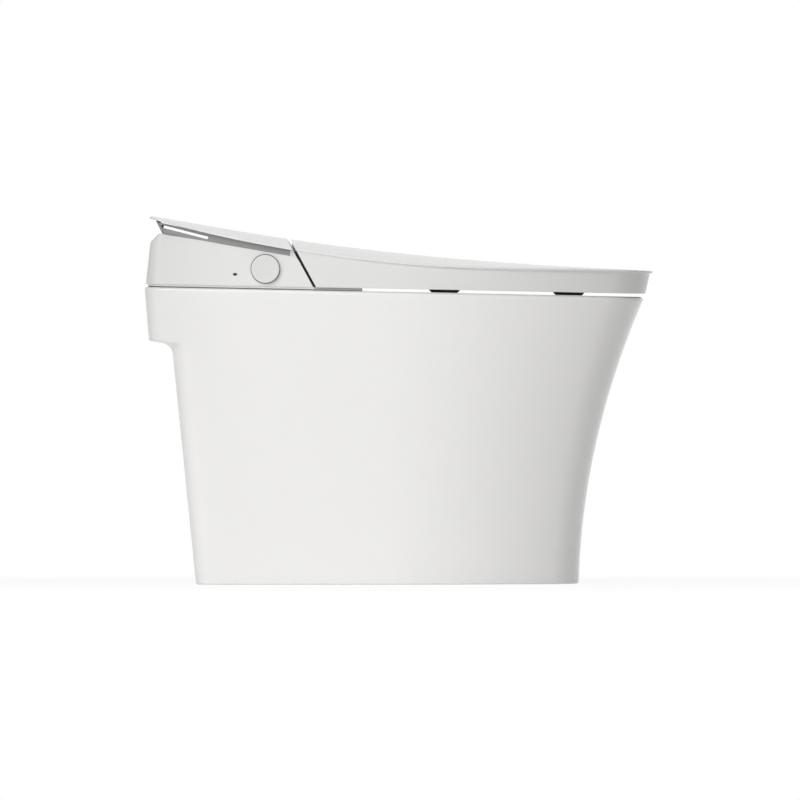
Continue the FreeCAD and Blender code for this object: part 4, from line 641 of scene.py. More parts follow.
def trap_path():
    """Centre line of the waste way in the middle plane: straight runs joined by arcs that touch both.

    An arc begins bend x tan(turn / 2) before its corner and goes round a centre that lies one
    bend to the side. Returns points (y, z) and the unit direction at each.
    """
    runs = np.diff(WASTE_CORNERS, axis=0)
    runs /= np.linalg.norm(runs, axis=1)[:, None]
    into, out = runs[:-1], runs[1:]
    left = np.stack([-into[:, 1], into[:, 0]], -1)
    turn = np.arctan2((left * out).sum(1), (into * out).sum(1))
    hand = WASTE_BEND * np.sign(turn)[:, None]
    centre = WASTE_CORNERS[1:-1] - into * WASTE_BEND * np.tan(abs(turn) / 2)[:, None] + left * hand
    angle = (turn[:, None] * np.linspace(0, 1, 13))[:, :, None]
    ways = into[:, None] * np.cos(angle) + left[:, None] * np.sin(angle)
    aside = left[:, None] * np.cos(angle) - into[:, None] * np.sin(angle)
    points = (centre[:, None] - hand[:, None] * aside).reshape(-1, 2)
    ways = ways.reshape(-1, 2)
    return (
        np.concatenate([WASTE_CORNERS[:1], points, WASTE_CORNERS[-1:]]),
        np.concatenate([runs[:1], ways, ways[-1:]]),
    )


def trap_rings(angle, radius):
    """Circles across the waste way; a ring's back point turns to its top as the way turns."""
    points, ways = trap_path()
    across = radius * np.sin(angle)
    y = points[:, :1] - across * ways[:, 1:]
    z = points[:, 1:] + across * ways[:, :1]
    return np.stack([np.broadcast_to(radius * np.cos(angle), y.shape), y, z], -1)


def skirt_rings(body, inset):
    """The skirt from the floor up, drawn in by an inset; the back follows the shelf's profile.

    Each row has a height for the sides and a point of the back's profile, and they blend
    along the side towards the back corner.
    """
    edge = mm(body.rim_height) - EDGE_ROLL
    back = SHELF_BACK - inset
    low, high = np.linspace(FOOT_ROW, LEDGE_FOOT, 22), np.linspace(LEDGE_HEAD + inset, edge, 10)
    profile = np.concatenate([
        np.column_stack([mm(body.foot_rear) - inset + FOOT_LEAN * low, low]),
        bezier(
            (306.2 - inset, LEDGE_FOOT),
            (307.5 - inset, 325 + inset * 0.9),
            (321 - inset * 0.6, 327.2 + inset),
            8,
        )[1:],
        bezier((335 - inset, 329.6 + inset), (338.3 - inset, 330 + inset), (back, SHELF_Z + inset), 6),
        np.column_stack([back + SHELF_LEAN * (high - SHELF_Z), high]),
    ])
    side = np.concatenate([
        low, np.linspace(LEDGE_FOOT, LEDGE_HEAD, 14)[1:], np.linspace(LEDGE_HEAD, edge, 11)[1:]
    ])
    return [skirt_ring(body, inset, back_y, back_z, z) for (back_y, back_z), z in zip(profile, side)]


def skirt_ring(body, inset, back, back_z, side_z):
    """One row of the skirt: a flat outline at the sides that blends into a raised one at the back."""
    rim_height = mm(body.rim_height)

    def ring(z):
        front_z = z - FRONT_FALL * slant(z, rim_height)
        out, out_front = flare(z / rim_height), flare(front_z / rim_height)
        return d_ring(
            mm(body.foot_half_width) + mm(body.rim_half_width - body.foot_half_width) * out - inset,
            mm(body.foot_front) + mm(body.rim_front - body.foot_front) * out_front - inset,
            back,
            max(REAR_CORNER - inset, 4),
            FRONT_NOSE + NOSE_FLARE * out_front - inset,
        )

    flat, raised = ring(side_z), ring(back_z)
    weight = ease((flat[:, 1] - back + BLEND_START) / BLEND_LENGTH)
    plan = flat + (raised - flat) * weight[:, None]
    height = side_z + (back_z - side_z) * weight
    return lift(plan, height + RIM_SLOPE * plan[:, 1] * slant(height, rim_height))


def basin_rings(body, angle, outset, shares):
    """The basin from its mouth down: egg outlines that shrink as 0.28 + 0.72 (1 - s^2.5)^1.11."""
    half_width, front, rear = (mm(v) for v in (body.basin_half_width, body.basin_front, body.basin_rear))
    sump = mm(body.sump_height) + 20 - outset
    half = (rear + front) / 2
    rings = []
    for share in shares:
        size = BASIN_FLOOR + (1 - BASIN_FLOOR) * (1 - share**2.5) ** 1.11
        middle = (rear - front) / 2 * (1 - share) - 8 * share
        reach = half * size
        sizes = (half_width * size, reach - middle, reach + middle, BASIN_NOSE * size, BASIN_TAIL * size)
        ring = egg_ring(angle, *(value + outset for value in sizes))
        top = rim(ring[:, 1], -LIP_ROLL)
        rings.append(lift(ring, top + (sump - top) * share))
    return rings


def ceramic_rings(body):
    """All rings of the ceramic, one closed way: foot, skirt, rim, basin, trap, outlet and back inside."""
    wall, edge_z, ceiling_z = mm(body.wall), mm(body.rim_height) - EDGE_ROLL, mm(body.rim_height) - DECK

    def level(inset, back, row_z, z):
        return lift(skirt_ring(body, inset, back, row_z, row_z)[:, :2], z)

    outer = skirt_rings(body, 0.0)
    angle = np.arctan2(outer[-1][:, 1] - RIM_MIDDLE, outer[-1][:, 0])
    edge = []
    for drop, pull in rounding(EDGE_ROLL, (22, 45, 67, 90)):
        ring = skirt_ring(body, pull, REAR_EDGE - pull, edge_z, edge_z)
        ring[:, 2] = rim(ring[:, 1], -drop)
        edge.append(ring)
    mouth = [mm(v) for v in (body.basin_half_width, body.basin_front, body.basin_rear)]
    lips = []
    for out, drop in rounding(LIP_ROLL, np.arange(0, 91, 18)):
        ring = egg_ring(angle, *(value + out for value in (*mouth, BASIN_NOSE, BASIN_TAIL)))
        lips.append(lift(ring, rim(ring[:, 1], -drop)))
    flat = [edge[-1] * (1 - s) + lips[0] * s for s in (0.12, 0.3, 0.5, 0.7, 0.88)]
    for ring in flat:
        ring[:, 2] = rim(ring[:, 1])
    circle = np.stack([np.cos(angle), np.sin(angle)], -1)
    collar = ((52, 13), (52, 0), (62, 0), (62, 25), (37, 25))
    outlet = [lift(circle * radius + (0, OUTLET_Y), z) for radius, z in collar]
    under = basin_rings(body, angle, BASIN_WALL, np.linspace(0.08, 0.97, 18))[::-1]
    ceiling = level(wall, 331, ceiling_z, ceiling_z)
    return [
        level(2.2, 273, 0, 0),
        level(0.7, 274.4, 0, 0.8),
        *outer,
        *edge,
        *flat,
        *lips,
        *basin_rings(body, angle, 0.0, np.linspace(0.03, 0.97, 26)),
        *trap_rings(angle, mm(body.trap_radius)),
        *outlet,
        *trap_rings(angle, mm(body.trap_radius) + WASTE_WALL)[-2::-1],
        *under,
        *(ceiling * (1 - s) + under[-1] * s for s in (0.85, 0.55, 0.25)),
        ceiling,
        *[ring for ring in skirt_rings(body, wall) if ring[:, 2].max() < ceiling_z - EDGE_ROLL][::-1],
        level(wall, 275 - wall, 0, 0),
    ]


class TOILET_OT_ceramic(Operator):
    """Glazed body: skirt, rim, basin and waste way as one closed surface, carved for the works."""

    bl_idname = "toilet.ceramic"
    bl_label = "Ceramic body"

    def execute(self, context):
        body = context.scene.toilet_body
        lugs = [block((x, 154, 0), (x + LUG_WIDTH, 186, 24), 3) for x in (74, -141)]
        piece = make_mesh("ceramic", [shell(ceramic_rings(body), torus=True), *lugs])
        carve(
            piece,
            make_mesh("well", [block((-122, 176, 340), (122, 318, 430), 8)]),
            make_mesh("notch", [block((-30, 80, 380), (30, 190, 430), 6)]),
            make_mesh("window", [window_cutter()]),
        )
        settle(piece, "root", finish_for("glazed_ceramic"), "glazed_ceramic", "ceramic_body")
        return {"FINISHED"}


def window_cutter():
    """The service window: a rounded rectangle carried back through the rear wall."""
    ring = round_rectangle(-70, 70, 70, 250, 14, 8)
    return shell([np.insert(ring, 1, y, axis=1) for y in (240, 340)])


# ---------------------------------------------------------------- crowned top


PLATE_CORNER, PLATE_NOSE = 18, 122


def crowned_sheet():
    """The whole top sheet: its outline drawn in ring by ring, each point at the crown's height.

    A ring is the outline shrunk about the middle; the edge is a round of 1.6 mm above and
    0.8 mm below, where a ring is the outline moved along its normals.
    """
    top = bpy.context.scene.toilet_top
    thickness = mm(top.plate_thickness)
    counts = (36, 14, 60, 72, 60)
    sizes = mm(top.plate_half_width), mm(top.plate_front), mm(top.plate_rear)
    outline = d_ring(*sizes, PLATE_CORNER, PLATE_NOSE, counts=counts)
    away = np.roll(outline, -1, 0) - np.roll(outline, 1, 0)
    normal = np.stack([away[:, 1], -away[:, 0]], -1)
    normal /= np.linalg.norm(normal, axis=1)[:, None]
    shares = (0.03, 0.1, 0.18, 0.27, 0.36, 0.45, 0.54, 0.63, 0.71, 0.78, 0.84, 0.89, 0.93, 0.96, 0.98)
    angles = np.arange(0, 91, 15)
    plans = [(outline * share, 0.0) for share in shares]
    plans += [(outline - pull * normal, drop) for pull, drop in rounding(1.6, angles)]
    plans += [(outline - pull * normal, thickness - up) for up, pull in rounding(0.8, angles[::2])]
    plans += [(outline * share, thickness) for share in shares[::-2]]
    return shell([lift(plan, crown(plan[:, 0], plan[:, 1]) - drop) for plan, drop in plans])


def beyond_seam(behind):
    """Everything behind or before the slanted joint, as a prism to carve with."""
    low, high, far = 360.0, 560.0, 520
    if behind:
        outline = [(seam(low) - SEAM_GAP, low), (far, low), (far, high), (seam(high) - SEAM_GAP, high)]
    else:
        outline = [(seam(low) + SEAM_GAP, low), (seam(high) + SEAM_GAP, high), (-far, high), (-far, low)]
    return prism(outline, -260, 260)


# The lid skirt's plan is given at two heights, 385 and 75 over it, and taken evenly between.
SKIRT_FOOT, SKIRT_CLIMB, SKIRT_WALL, SKIRT_LIP, SKIRT_RISE = 385, 75, 3.0, 1.1, 4.3
SHEET_DEPTH = 2.7
WEB_WIDTH, LIP_WIDTH, LUG_WIDTH = 46, 9, 67


def skirt_plan(height, inset, straight, turn, tip):
    """Half of the lid skirt's outline at each height: it widens and lengthens evenly upwards.

    Its stations are shares of the straight run from the joint, of the side arc and of the
    nose arc up to the middle.
    """
    share = (height - SKIRT_FOOT) / SKIRT_CLIMB
    half_width = 190 + 7 * share - inset
    front = 333.4 + 16.7 * share - inset
    start, radius = WIDEST_Y, 118 - inset
    along = front + start - radius
    side = (half_width**2 + along**2 - radius**2) / (2 * (half_width - radius))
    meet = np.arctan2(along, side - half_width)
    back = seam(height) - SEAM_GAP
    bend = math.pi + meet * turn
    nose = math.pi + meet + (math.pi - 2 * meet) * tip
    on_side = straight >= 1
    x = np.where(on_side, side - half_width + side * np.cos(bend), -half_width)
    y = np.where(on_side, start + side * np.sin(bend), back + (start - back) * straight)
    x = np.where(tip > 0, radius * np.cos(nose), x)
    return x, np.where(tip > 0, radius - front + radius * np.sin(nose), y)


def lid_skirt():
    """The lid's side wall: a cross-section with a round lower lip, carried round the front.

    Each point's place in plan depends on its height and the height on its place, so both
    are settled in three rounds.
    """
    lip = [(pull, up, 0.0) for pull, up in rounding(SKIRT_LIP, np.arange(0, 91, 18))]
    outer = [(0.0, SKIRT_LIP, share) for share in np.linspace(0, 1, 9)]
    inner = [(SKIRT_WALL, 0.0, share) for share in np.linspace(1, 0, 7)]
    inset, up, share = np.array(outer + inner + lip).T
    straight, turn, tip = np.array(
        [(t, 0, 0) for t in np.linspace(0, 1, 40)[:-1]]
        + [(1, t, 0) for t in np.linspace(0, 1, 48)]
        + [(1, 1, t) for t in np.linspace(0, 0.5, 40)[1:]]
    ).T[:, :, None]
    height = np.full((len(straight), len(inset)), 410.0)
    for _ in range(3):
        x, y = skirt_plan(height, inset, straight, turn, tip)
        foot = rim(y, SKIRT_RISE) + up
        height = foot + (crown(x, y) - SHEET_DEPTH - foot) * share
    half = np.stack([x, y, height], -1)
    return shell(np.concatenate([half, half[-2::-1] * np.array([-1, 1, 1])]))


class TOILET_OT_crowned_top(Operator):
    """Rear top plate and lid: one crowned sheet parted along the slanted joint, with the lid's skirt."""

    bl_idname = "toilet.crowned_top"
    bl_label = "Rear plate and lid"

    def execute(self, context):
        gloss = finish_for("white_gloss")
        rear = carve(make_mesh("rear_plate", [crowned_sheet()]), make_mesh("before", [beyond_seam(False)]))
        settle(rear, "root", gloss, "white_gloss", "rear_top_plate")
        corners = [(seam(z) + SEAM_GAP + 0.3, z) for z in (439.5, 455.6)] + [(147.2, 455.6), (147.2, 439.5)]
        webs = [prism(corners, x, x + WEB_WIDTH) for x in (-187, 141)]
        settle(make_mesh("plate_webs", webs), "root", gloss, "white_gloss", "rear_top_plate")
        lid = carve(make_mesh("lid_sheet", [crowned_sheet()]), make_mesh("behind", [beyond_seam(True)]))
        settle(lid, "lid", gloss, "white_gloss", "lid_shell")
        settle(make_mesh("lid_skirt", [lid_skirt()], 40), "lid", gloss, "white_gloss", "lid_shell")
        return {"FINISHED"}


RISER_HALF_WIDTH, RISER_FRONT, RISER_REAR, RISER_WALL = 187, 147.0, 320.8, 3.5
RISER_LEAN, RISER_MIDDLE, LEAN_START, LEAN_LENGTH = 0.5, 477, 200, 120
SLOT_FRONT, SLOT_REAR, SLOT_ROUND = np.array([259.7, 469.9]), np.array([319.6, 485.4]), 1.75


def riser_ring(inset):
    """Plan of the riser: back round both rear corners and forward again, drawn in by an inset."""
    half = RISER_HALF_WIDTH - inset
    back = around_back(half, RISER_FRONT, RISER_REAR - inset, max(6 - inset, 1.0), (40, 8, 50))
    return np.concatenate([back, [[-half, RISER_FRONT]]])


def riser_shell():
    """The riser: a wall carried round three sides, from the housing's top up under the crowned sheet.

    Its rear leans back by half its height, shared out along the sides from the middle on.
    """
    rows = []
    for inset, shares in ((0.0, np.linspace(0, 1, 9)), (RISER_WALL, np.linspace(1, 0, 5))):
        plan = riser_ring(inset)
        low = housing_top(plan[:, 1]) + 0.2
        high = crown(*plan.T) - SHEET_DEPTH - 0.6
        for share in shares:
            height = low + (high - low) * share
            lean = RISER_LEAN * (height - RISER_MIDDLE) * ease((plan[:, 1] - LEAN_START) / LEAN_LENGTH)
            rows.append(lift(plan + np.outer(lean, (0, 1)), height))
    return shell(np.array(rows).transpose(1, 0, 2))


def riser_slot():
    """The long slot's outline with round ends, carried across the whole width."""
    angle = math.degrees(math.atan2(*(SLOT_REAR - SLOT_FRONT)[::-1]))
    outline = np.concatenate([
        arc(*SLOT_REAR, SLOT_ROUND, angle - 90, angle + 90, 12),
        arc(*SLOT_FRONT, SLOT_ROUND, angle + 90, angle + 270, 12),
    ])
    return prism(outline, -230, 230)


class TOILET_OT_riser(Operator):
    """Recessed grey strip between housing and top plate, with its long slot."""

    bl_idname = "toilet.riser"
    bl_label = "Riser"

    def execute(self, context):
        piece = carve(make_mesh("riser", [riser_shell()]), make_mesh("slot", [riser_slot()]))
        settle(piece, "root", finish_for("grey_plastic"), "grey_plastic", "plate_riser")
        return {"FINISHED"}


# ---------------------------------------------------------------- rear housing


HOUSING_BACK, HOUSING_BACK_Z, HOUSING_LEAN = 342.4, 407.4, 6.1 / 56.6
HOUSING_CORNER, HOUSING_WALL, HOUSING_ROOF = 20, 3.0, 6.0
WELL_RADIUS, WELL_DEPTH, SPINDLE_RADIUS = 20.1, 0.9, 6.4


def housing_shell(half, inset, drop):
    """The housing's outer form, drawn in by an inset.

    Each row is a plan ring between a point of the slanted front and one of the back; the
    heights run evenly from front to back, so the last row lies in the sloping top.
    """
    top_y = seam(445) + SEAM_GAP
    front = np.concatenate([
        [(seam(z) + SEAM_GAP, z) for z in np.linspace(402.9, 439, 8)],
        bezier((seam(439) + SEAM_GAP, 439), (top_y - 0.6, 443.6), (top_y + 6, HOUSING_TOP_Z), 6),
        np.repeat([(top_y + 6, HOUSING_TOP_Z)], 22, 0),
    ])
    upright = np.concatenate([np.linspace(HOUSING_BACK_Z, 436, 14), np.linspace(438, 461, 8)])
    back = np.concatenate([
        np.column_stack([HOUSING_BACK - HOUSING_LEAN * (upright - HOUSING_BACK_Z), upright]),
        bezier((336.6, 461), (336.3, 464), (334.1, 466.2), 5)[1:],
        [(334.1 - 8.3 * share, 466.2 + 8.3 * share) for share in (0.33, 0.66, 0.95)],
        bezier((325.8, 474.5), (324.3, 476), (321.4, 475.4), 5)[1:],
        [(319, 474.9), (316, 474.3), (314, 473.9)],
    ])
    rings = []
    for (front_y, front_z), (back_y, back_z) in zip(front, back):
        near, far, reach = front_y + inset, back_y - inset, half - inset
        corner = np.clip(HOUSING_CORNER - (HOUSING_BACK - back_y), 1.2, HOUSING_CORNER) - min(inset, 0.8)
        ring = np.concatenate([
            around_back(reach, near, far, corner, (30, 10, 40)), run((-reach, near), (reach, near), 40)
        ])
        share = (ring[:, 1] - near) / (far - near)
        rings.append(lift(ring, front_z + (back_z - front_z) * share - drop))
    edge = rings[-1]
    for pull, rise in ((0.004, 0.12), (0.01, 0.2)):
        rings.append(edge + (edge.mean(0) - edge) * pull + (0, 0, rise))
    return shell(rings)


def lens_oval(play, count, size=1.0):
    """The lens's outline, or one that is larger by a play or smaller by a share."""
    return oval(LENS_AT, LENS_HALF_WIDTH * size + play, LENS_HALF_HEIGHT * size + play, count)


class TOILET_OT_housing(Operator):
    """Rear housing: a thin moulded shell with its hinge bay, ports and bores."""

    bl_idname = "toilet.housing"
    bl_label = "Rear housing"

    def execute(self, context):
        top = context.scene.toilet_top
        half = mm(top.housing_half_width)
        room = carve(
            make_mesh("room", [housing_shell(half, HOUSING_WALL, HOUSING_ROOF)]),
            make_mesh("liner", [block((-140, 90, 437.9), (140, 183.9, 510), 2)]),
        )
        piece = make_mesh("housing", [housing_shell(half, 0.0, 0.0)])
        cuts = {
            "bay": block((-137, 90, 440.9), (137, 180.9, 500), 2),
            "port": block((-28.9, 90, 370), (28.9, 143.9, 417), 3),
            "duct": block((53.5, 90, 404.5), (80.5, 153.9, 428), 2),
            "slot_left": block((83, 90, 402.7), (136, 180.9, 500), 2),
            "slot_right": block((-136, 90, 402.7), (-83, 180.9, 500), 2),
            "lens_bore": prism(lens_oval(LENS_PLAY, 24), -half - 5, -half + 12),
            "knob_bore": prism(oval(KNOB_AT, SPINDLE_RADIUS, SPINDLE_RADIUS, 72), -half - 5, -half + 12),
            "knob_well": prism(oval(KNOB_AT, WELL_RADIUS, WELL_RADIUS, 72), -half - 5, -half + WELL_DEPTH),
        }
        carve(piece, room, *[make_mesh(name, [cut]) for name, cut in cuts.items()])
        settle(piece, "root", finish_for("white_plastic"), "white_plastic", "housing_cover")
        return {"FINISHED"}


class TOILET_OT_joint_lip(Operator):
    """Lips behind the slanted joint, near black: painted shade, so the joint shows as a deep shadow gap and
    no light comes through it.
    """

    bl_idname = "toilet.joint_lip"
    bl_label = "Joint lips"

    def execute(self, context):
        levels = np.array([403.6, 428, 451.5])
        near = np.column_stack([seam(levels) - 5.5, levels])
        far = np.column_stack([seam(levels) + SEAM_GAP + 0.4, levels])
        lips = [prism(np.concatenate([near, far[::-1]]), x, x + LIP_WIDTH) for x in (-183, 174)]
        piece = make_mesh("joint_lip", lips)
        # The near-black finish is painted shade for the joint.
        settle(piece, "root", finish_for("joint_black"), "dark_rubber", "housing_cover")
        return {"FINISHED"}


class TOILET_OT_knob(Operator):
    """Side knob with a soft edge and a shallow dish, a grey ring behind it as painted shade for the shadowed
    gap round the cap, and the small oval lens.
    """

    bl_idname = "toilet.knob"
    bl_label = "Knob and lens"

    def execute(self, context):
        radius = mm(context.scene.toilet_top.knob_radius)
        face, foot, ring_front, ring_back = -197.6, -192.7, -189.9, -189.25
        profile = [
            (0.2, face + 0.4), (5, face + 0.38), (10, face + 0.3), (15, face + 0.12), (17, face + 0.02),
            *((radius - pull, face + back) for pull, back in rounding(1.3, np.arange(0, 91, 15))),
            (radius, -194.2), (radius - 0.7, -193.2), (radius - 1.6, foot), (radius - 4, foot), (0.2, foot),
        ]
        cap = make_mesh("knob_disc", [shell(turned(profile, KNOB_AT))], 50)
        settle(cap, "knob", finish_for("knob_satin"), "white_plastic", "knob_cap")
        # The grey ring round the cap is painted shade: it draws the dark shadowed gap round the knob.
        inner, outer = radius - 6, radius + 0.8
        band = [(inner, ring_back), (inner, ring_front), (outer, ring_front), (outer, ring_back)]
        ring = make_mesh("knob_shade_ring", [shell(turned(band, KNOB_AT), torus=True)])
        settle(ring, "root", finish_for("grey_rubber"), "grey_rubber", "housing_cover")
        levels = ((0.1, -190.28), (0.5, -190.25), (0.8, -190.15), (1.0, ring_front), (1.0, -187), (0.1, -187))
        dome = [np.insert(lens_oval(0, 36, size), 0, x, axis=1) for size, x in levels]
        lens = make_mesh("lens_oval", [shell(dome)], 50)
        settle(lens, "root", finish_for("smoked_lens"), "smoked_lens", "indicator_lens")
        return {"FINISHED"}


# ---------------------------------------------------------------- seat


SEAT_MIDDLE, SEAT_COUNTS = -91.0, (30, 14, 40, 56, 50)
PAD_HALF_X, PAD_HALF_Y, PAD_TAPER, PAD_CORNER, PAD_FOOT, PAD_HEAD = 7, 21, 3.0, 2.5, 0.3, 4.35


def seat_rings(section):
    """The seat carried round its hole: a closed cross-section between the outline and the hole.

    A point of the section is (share from the outline to the hole, inset from its nearer
    edge, height over the rim); outline and hole meet at equal angles about one centre.
    """
    top = bpy.context.scene.toilet_top
    centre = np.array([0, SEAT_MIDDLE])
    outline = d_ring(
        mm(top.seat_half_width), mm(top.seat_front), mm(top.seat_rear), 24, 114, 10.0, SEAT_COUNTS
    )
    away = outline - centre
    angle = np.arctan2(away[:, 1], away[:, 0])
    hole = egg_ring(angle, mm(top.hole_half_width), mm(top.hole_front), mm(top.hole_rear), 80, 80)
    between = hole - outline
    width = np.linalg.norm(between, axis=1)[:, None]
    rings = []
    for share, inset, height in section:
        inward = inset if share < 0.5 else -inset
        plan = outline + between * share + between / width * inward
        rings.append(lift(plan, rim(plan[:, 1], height)))
    return shell(rings, torus=True)


def upper_section():
    """Cross-section of the warm upper shell: full outer round, a broad crown, a long roll to the hole."""
    floor, top, roll = 12.45, 24.3, np.arange(0, 91, 9)
    outer = [(0, pull, top - drop) for drop, pull in rounding(7.5, roll)]
    saddle = [(0.18, 0, top), (0.3, 0, top - 0.05), (0.42, 0, top - 0.3)]
    inner = [(1, 14 * pull, top - 0.7 - 7.5 * drop) for pull, drop in rounding(1, roll)]
    under = [(1, 0.6, floor), (0.75, 0, floor), (0.5, 0, floor), (0.25, 0, floor), (0, 0.6, floor)]
    return [(0, 0, floor + 0.5), *outer, *saddle, *inner, (1, 0, floor + 0.6), *under]


def lower_section():
    """Cross-section of the lower shell: a shallow tray set in a little, with round lower edges."""
    floor, top, inset = 4.3, 12.3, 0.5
    lip = rounding(2.5, np.arange(0, 91, 18)) + (inset, floor)
    outer, inner = ([(share, *point) for point in lip] for share in (0, 1))
    bottom = [(share, 0, floor) for share in (0.75, 0.5, 0.25)]
    cover = [(share, 0, top) for share in (0.25, 0.5, 0.75)]
    return [*outer, (0, inset, top), *cover, (1, inset, top), *inner[::-1], *bottom]


class TOILET_OT_seat(Operator):
    """Heated seat: upper and lower shell, carried round the hole."""

    bl_idname = "toilet.seat"
    bl_label = "Seat"

    def execute(self, context):
        upper = make_mesh("seat_upper", [seat_rings(upper_section())], 50)
        settle(upper, "seat", finish_for("white_gloss"), "white_gloss", "seat_top_shell")
        lower = make_mesh("seat_lower", [seat_rings(lower_section())], 50)
        settle(lower, "seat", finish_for("white_plastic"), "white_plastic", "seat_bottom_shell")
        return {"FINISHED"}


def pad_rings(x, y):
    """A rubber pad under the seat: a rounded rectangle that narrows to its foot and has a soft lower edge."""
    rings = []
    for up, inset in ((0.0, 0.6), (0.5, 0.0), (1.0, 0.0)):
        half_x, half_y = PAD_HALF_X - inset, PAD_HALF_Y - PAD_TAPER * (1 - up) - inset
        ring = round_rectangle(x - half_x, y - half_y, x + half_x, y + half_y, PAD_CORNER)
        rings.append(lift(ring, rim(ring[:, 1], PAD_FOOT + (PAD_HEAD - PAD_FOOT) * up)))
    return shell(rings)


class TOILET_OT_pads(Operator):
    """Dark rubber pads under the seat."""

    bl_idname = "toilet.pads"
    bl_label = "Seat pads"

    def execute(self, context):
        places = [(side * x, y) for side in (-1, 1) for x, y in ((152, -62), (96, -231))]
        pads = make_mesh("seat_pads", [pad_rings(x, y) for x, y in places], 50)
        settle(pads, "seat", finish_for("dark_rubber"), "dark_rubber", "seat_bumpers")
        return {"FINISHED"}


# ---------------------------------------------------------------- stage


def seen_directly(tree):
    """1 where the camera, a reflection or glass looks, 0 for light that falls on the object."""
    path = tree.nodes.new("ShaderNodeLightPath")
    value = path.outputs["Is Camera Ray"]
    for ray in ("Is Glossy Ray", "Is Transmission Ray"):
        value = calculate(tree, "MAXIMUM", value, path.outputs[ray])
    return value


def flat_card(context, name, corners, material):
    """One flat face with a material."""
    mesh = bpy.data.meshes.new(name)
    mesh.from_pydata(corners, [], [(0, 1, 2, 3)])
    mesh.materials.append(material)
    card = bpy.data.objects.new(name, mesh)
    context.scene.collection.objects.link(card)
    return card


class TOILET_OT_stage(Operator):
    """Floor, lamps, world and the camera at the photograph's angle."""

    bl_idname = "toilet.stage"
    bl_label = "Stage"
    floor_reach = 6.0
    middle_y, middle_z, eye_z = -0.0017, 0.2496, 0.399
    film = 36

    def execute(self, context):
        studio = context.scene.toilet_studio
        reach = self.floor_reach
        corners = [(-reach, -reach, 0), (reach, -reach, 0), (reach, reach, 0), (-reach, reach, 0)]
        floor = flat_card(context, "floor", corners, self.floor_finish())
        self.lamp(context, "key", (-4.1, 1.65, 2.2), 3.7, studio.key)
        self.lamp(context, "top", (0.0, 0.0, 3.2), 3.0, studio.top)
        self.flag(context)
        self.world(context, studio.ambient)
        self.camera(context, studio.distance, studio.field)
        context.scene.view_settings.view_transform = "Standard"
        return {"FINISHED"}

    @staticmethod
    def floor_finish():
        """Matt white that keeps the shadow near the object and goes over to plain white away from it."""
        material, tree, shader, place = nodes_of("floor_white")
        speck = noise(tree, place, 30, 2)
        tree.links.new(mottle(tree, speck, (0.98, 0.98, 0.98), 0.004), shader.inputs["Base Color"])
        shader.inputs["Roughness"].default_value = 0.9
        shader.inputs["Specular IOR Level"].default_value = 0
        reach = tree.nodes.new("ShaderNodeVectorMath")
        reach.operation = "LENGTH"
        tree.links.new(place.outputs["Object"], reach.inputs[0])
        away = tree.nodes.new("ShaderNodeMapRange")
        away.inputs["From Min"].default_value = 0.55
        away.inputs["From Max"].default_value = 1.3
        away.inputs["To Min"].default_value = 0.91
        tree.links.new(reach.outputs["Value"], away.inputs["Value"])
        share = calculate(tree, "MULTIPLY", away.outputs["Result"], seen_directly(tree))
        plain = tree.nodes.new("ShaderNodeEmission")
        both = tree.nodes.new("ShaderNodeMixShader")
        tree.links.new(share, both.inputs[0])
        tree.links.new(shader.outputs[0], both.inputs[1])
        tree.links.new(plain.outputs[0], both.inputs[2])
        tree.links.new(both.outputs[0], tree.nodes["Material Output"].inputs["Surface"])
        return material

    @staticmethod
    def lamp(context, name, place, size, power):
        """A round lamp that faces the middle of the object."""
        data = bpy.data.lights.new(name, "AREA")
        data.shape = "DISK"
        data.size = size
        data.energy = power
        lamp = bpy.data.objects.new(name, data)
        lamp.location = place
        lamp.rotation_mode = "QUATERNION"
        lamp.rotation_quaternion = (Vector(place) - Vector((0, 0, 0.25))).to_track_quat("Z", "Y")
        context.scene.collection.objects.link(lamp)

    @staticmethod
    def flag(context):
        """A black card beside the rear, which shades the object's back edge as in the photograph."""
        corners = [(-0.5, y, z) for y, z in ((0.51, 0.44), (1.1, 0.44), (1.1, 1.3), (0.51, 1.3))]
        card = flat_card(context, "flag", corners, moulded_plastic("flag_black", (0.01, 0.01, 0.01), 0.9))
        card.visible_camera = card.visible_glossy = card.visible_transmission = False

    @staticmethod
    def world(context, ambient):
        """White where the camera, a reflection or glass looks, a plain level elsewhere."""
        world = bpy.data.worlds.new("studio")
        context.scene.world = world
        world.use_nodes = True
        tree = world.node_tree
        back = tree.nodes["Background"]
        level = tree.nodes.new("ShaderNodeMapRange")
        level.inputs["To Min"].default_value = ambient
        level.inputs["To Max"].default_value = 1.0
        tree.links.new(seen_directly(tree), level.inputs["Value"])
        tree.links.new(level.outputs["Result"], back.inputs["Strength"])
        back.inputs["Color"].default_value = (1, 1, 1, 1)

    def camera(self, context, distance, field):
        """A very long lens square to the side, with its horizon at the rim."""
        data = bpy.data.cameras.new("camera")
        camera = bpy.data.objects.new("camera", data)
        context.scene.collection.objects.link(camera)
        data.sensor_width = self.film
        data.lens = self.film * distance / field
        data.clip_end = distance * 3
        aim = Vector((0, self.middle_y, self.middle_z))
        place = Vector((-distance, self.middle_y, self.eye_z))
        camera.location = place
        camera.rotation_mode = "QUATERNION"
        camera.rotation_quaternion = (place - aim).to_track_quat("Z", "Y")
        context.scene.camera = camera


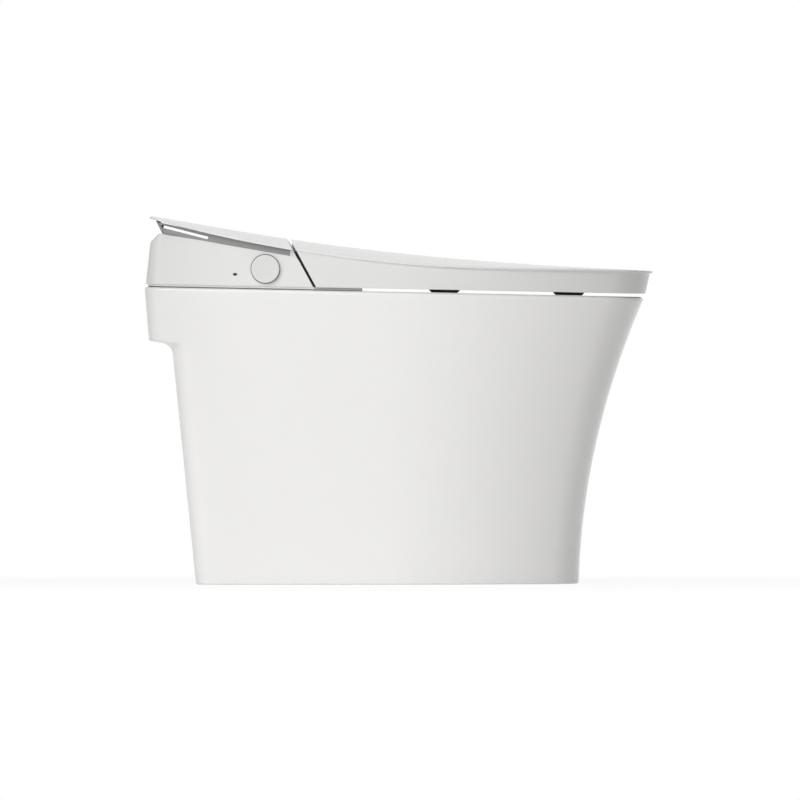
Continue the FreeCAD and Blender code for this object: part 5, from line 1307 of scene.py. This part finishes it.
class TOILET_OT_finishes(Operator):
    """Give every carried-over CAD piece the material of its slot."""

    bl_idname = "toilet.finishes"
    bl_label = "Finishes of the frame pieces"

    def execute(self, context):
        for row in frame["record"]["subparts"]:
            node = frame["nodes"][row["node"]]
            node.data.materials.clear()
            node.data.materials.append(finish_for(row["material_slot"]))
        tints = context.scene.toilet_colours
        # The base plate's material paints shade on it: grey wings under the lid and a dark shadow line at its
        # foot.
        base = frame["nodes"]["base_plate"]
        base.data.materials[0] = base_plate_painted_shade((0.95, 0.95, 0.94), tuple(1.3 * part for part in tints.strip))
        return {"FINISHED"}


class TOILET_PT_panel(Panel):
    """Sizes, colours and the steps of the build."""

    bl_label = "Washing toilet"
    bl_idname = "TOILET_PT_panel"
    bl_space_type = "VIEW_3D"
    bl_region_type = "UI"
    bl_category = "Toilet"

    def draw(self, context):
        for group in ("toilet_body", "toilet_top", "toilet_colours", "toilet_studio"):
            box = self.layout.box()
            owner = getattr(context.scene, group)
            for name in owner.bl_rna.properties.keys():
                if name not in ("rna_type", "name"):
                    box.prop(owner, name)
        for step in STEPS:
            self.layout.operator(step.bl_idname)


GROUPS = {
    "toilet_body": ToiletBodySizes,
    "toilet_top": ToiletTopSizes,
    "toilet_colours": ToiletColours,
    "toilet_studio": ToiletStudio,
}
STEPS = (
    TOILET_OT_finishes, TOILET_OT_ceramic, TOILET_OT_housing, TOILET_OT_joint_lip, TOILET_OT_crowned_top,
    TOILET_OT_riser, TOILET_OT_knob, TOILET_OT_seat, TOILET_OT_pads, TOILET_OT_stage,
)


def register():
    for name, group in GROUPS.items():
        bpy.utils.register_class(group)
        setattr(bpy.types.Scene, name, PointerProperty(type=group))
    for item in (*STEPS, TOILET_PT_panel):
        bpy.utils.register_class(item)


def unregister():
    for item in (TOILET_PT_panel, *reversed(STEPS)):
        bpy.utils.unregister_class(item)
    for name, group in reversed(GROUPS.items()):
        delattr(bpy.types.Scene, name)
        bpy.utils.unregister_class(group)


def main():
    """Register the add-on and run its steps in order."""
    register()
    for step in STEPS:
        family, action = step.bl_idname.split(".")
        getattr(getattr(bpy.ops, family), action)()


if __name__ == "__main__":
    main()
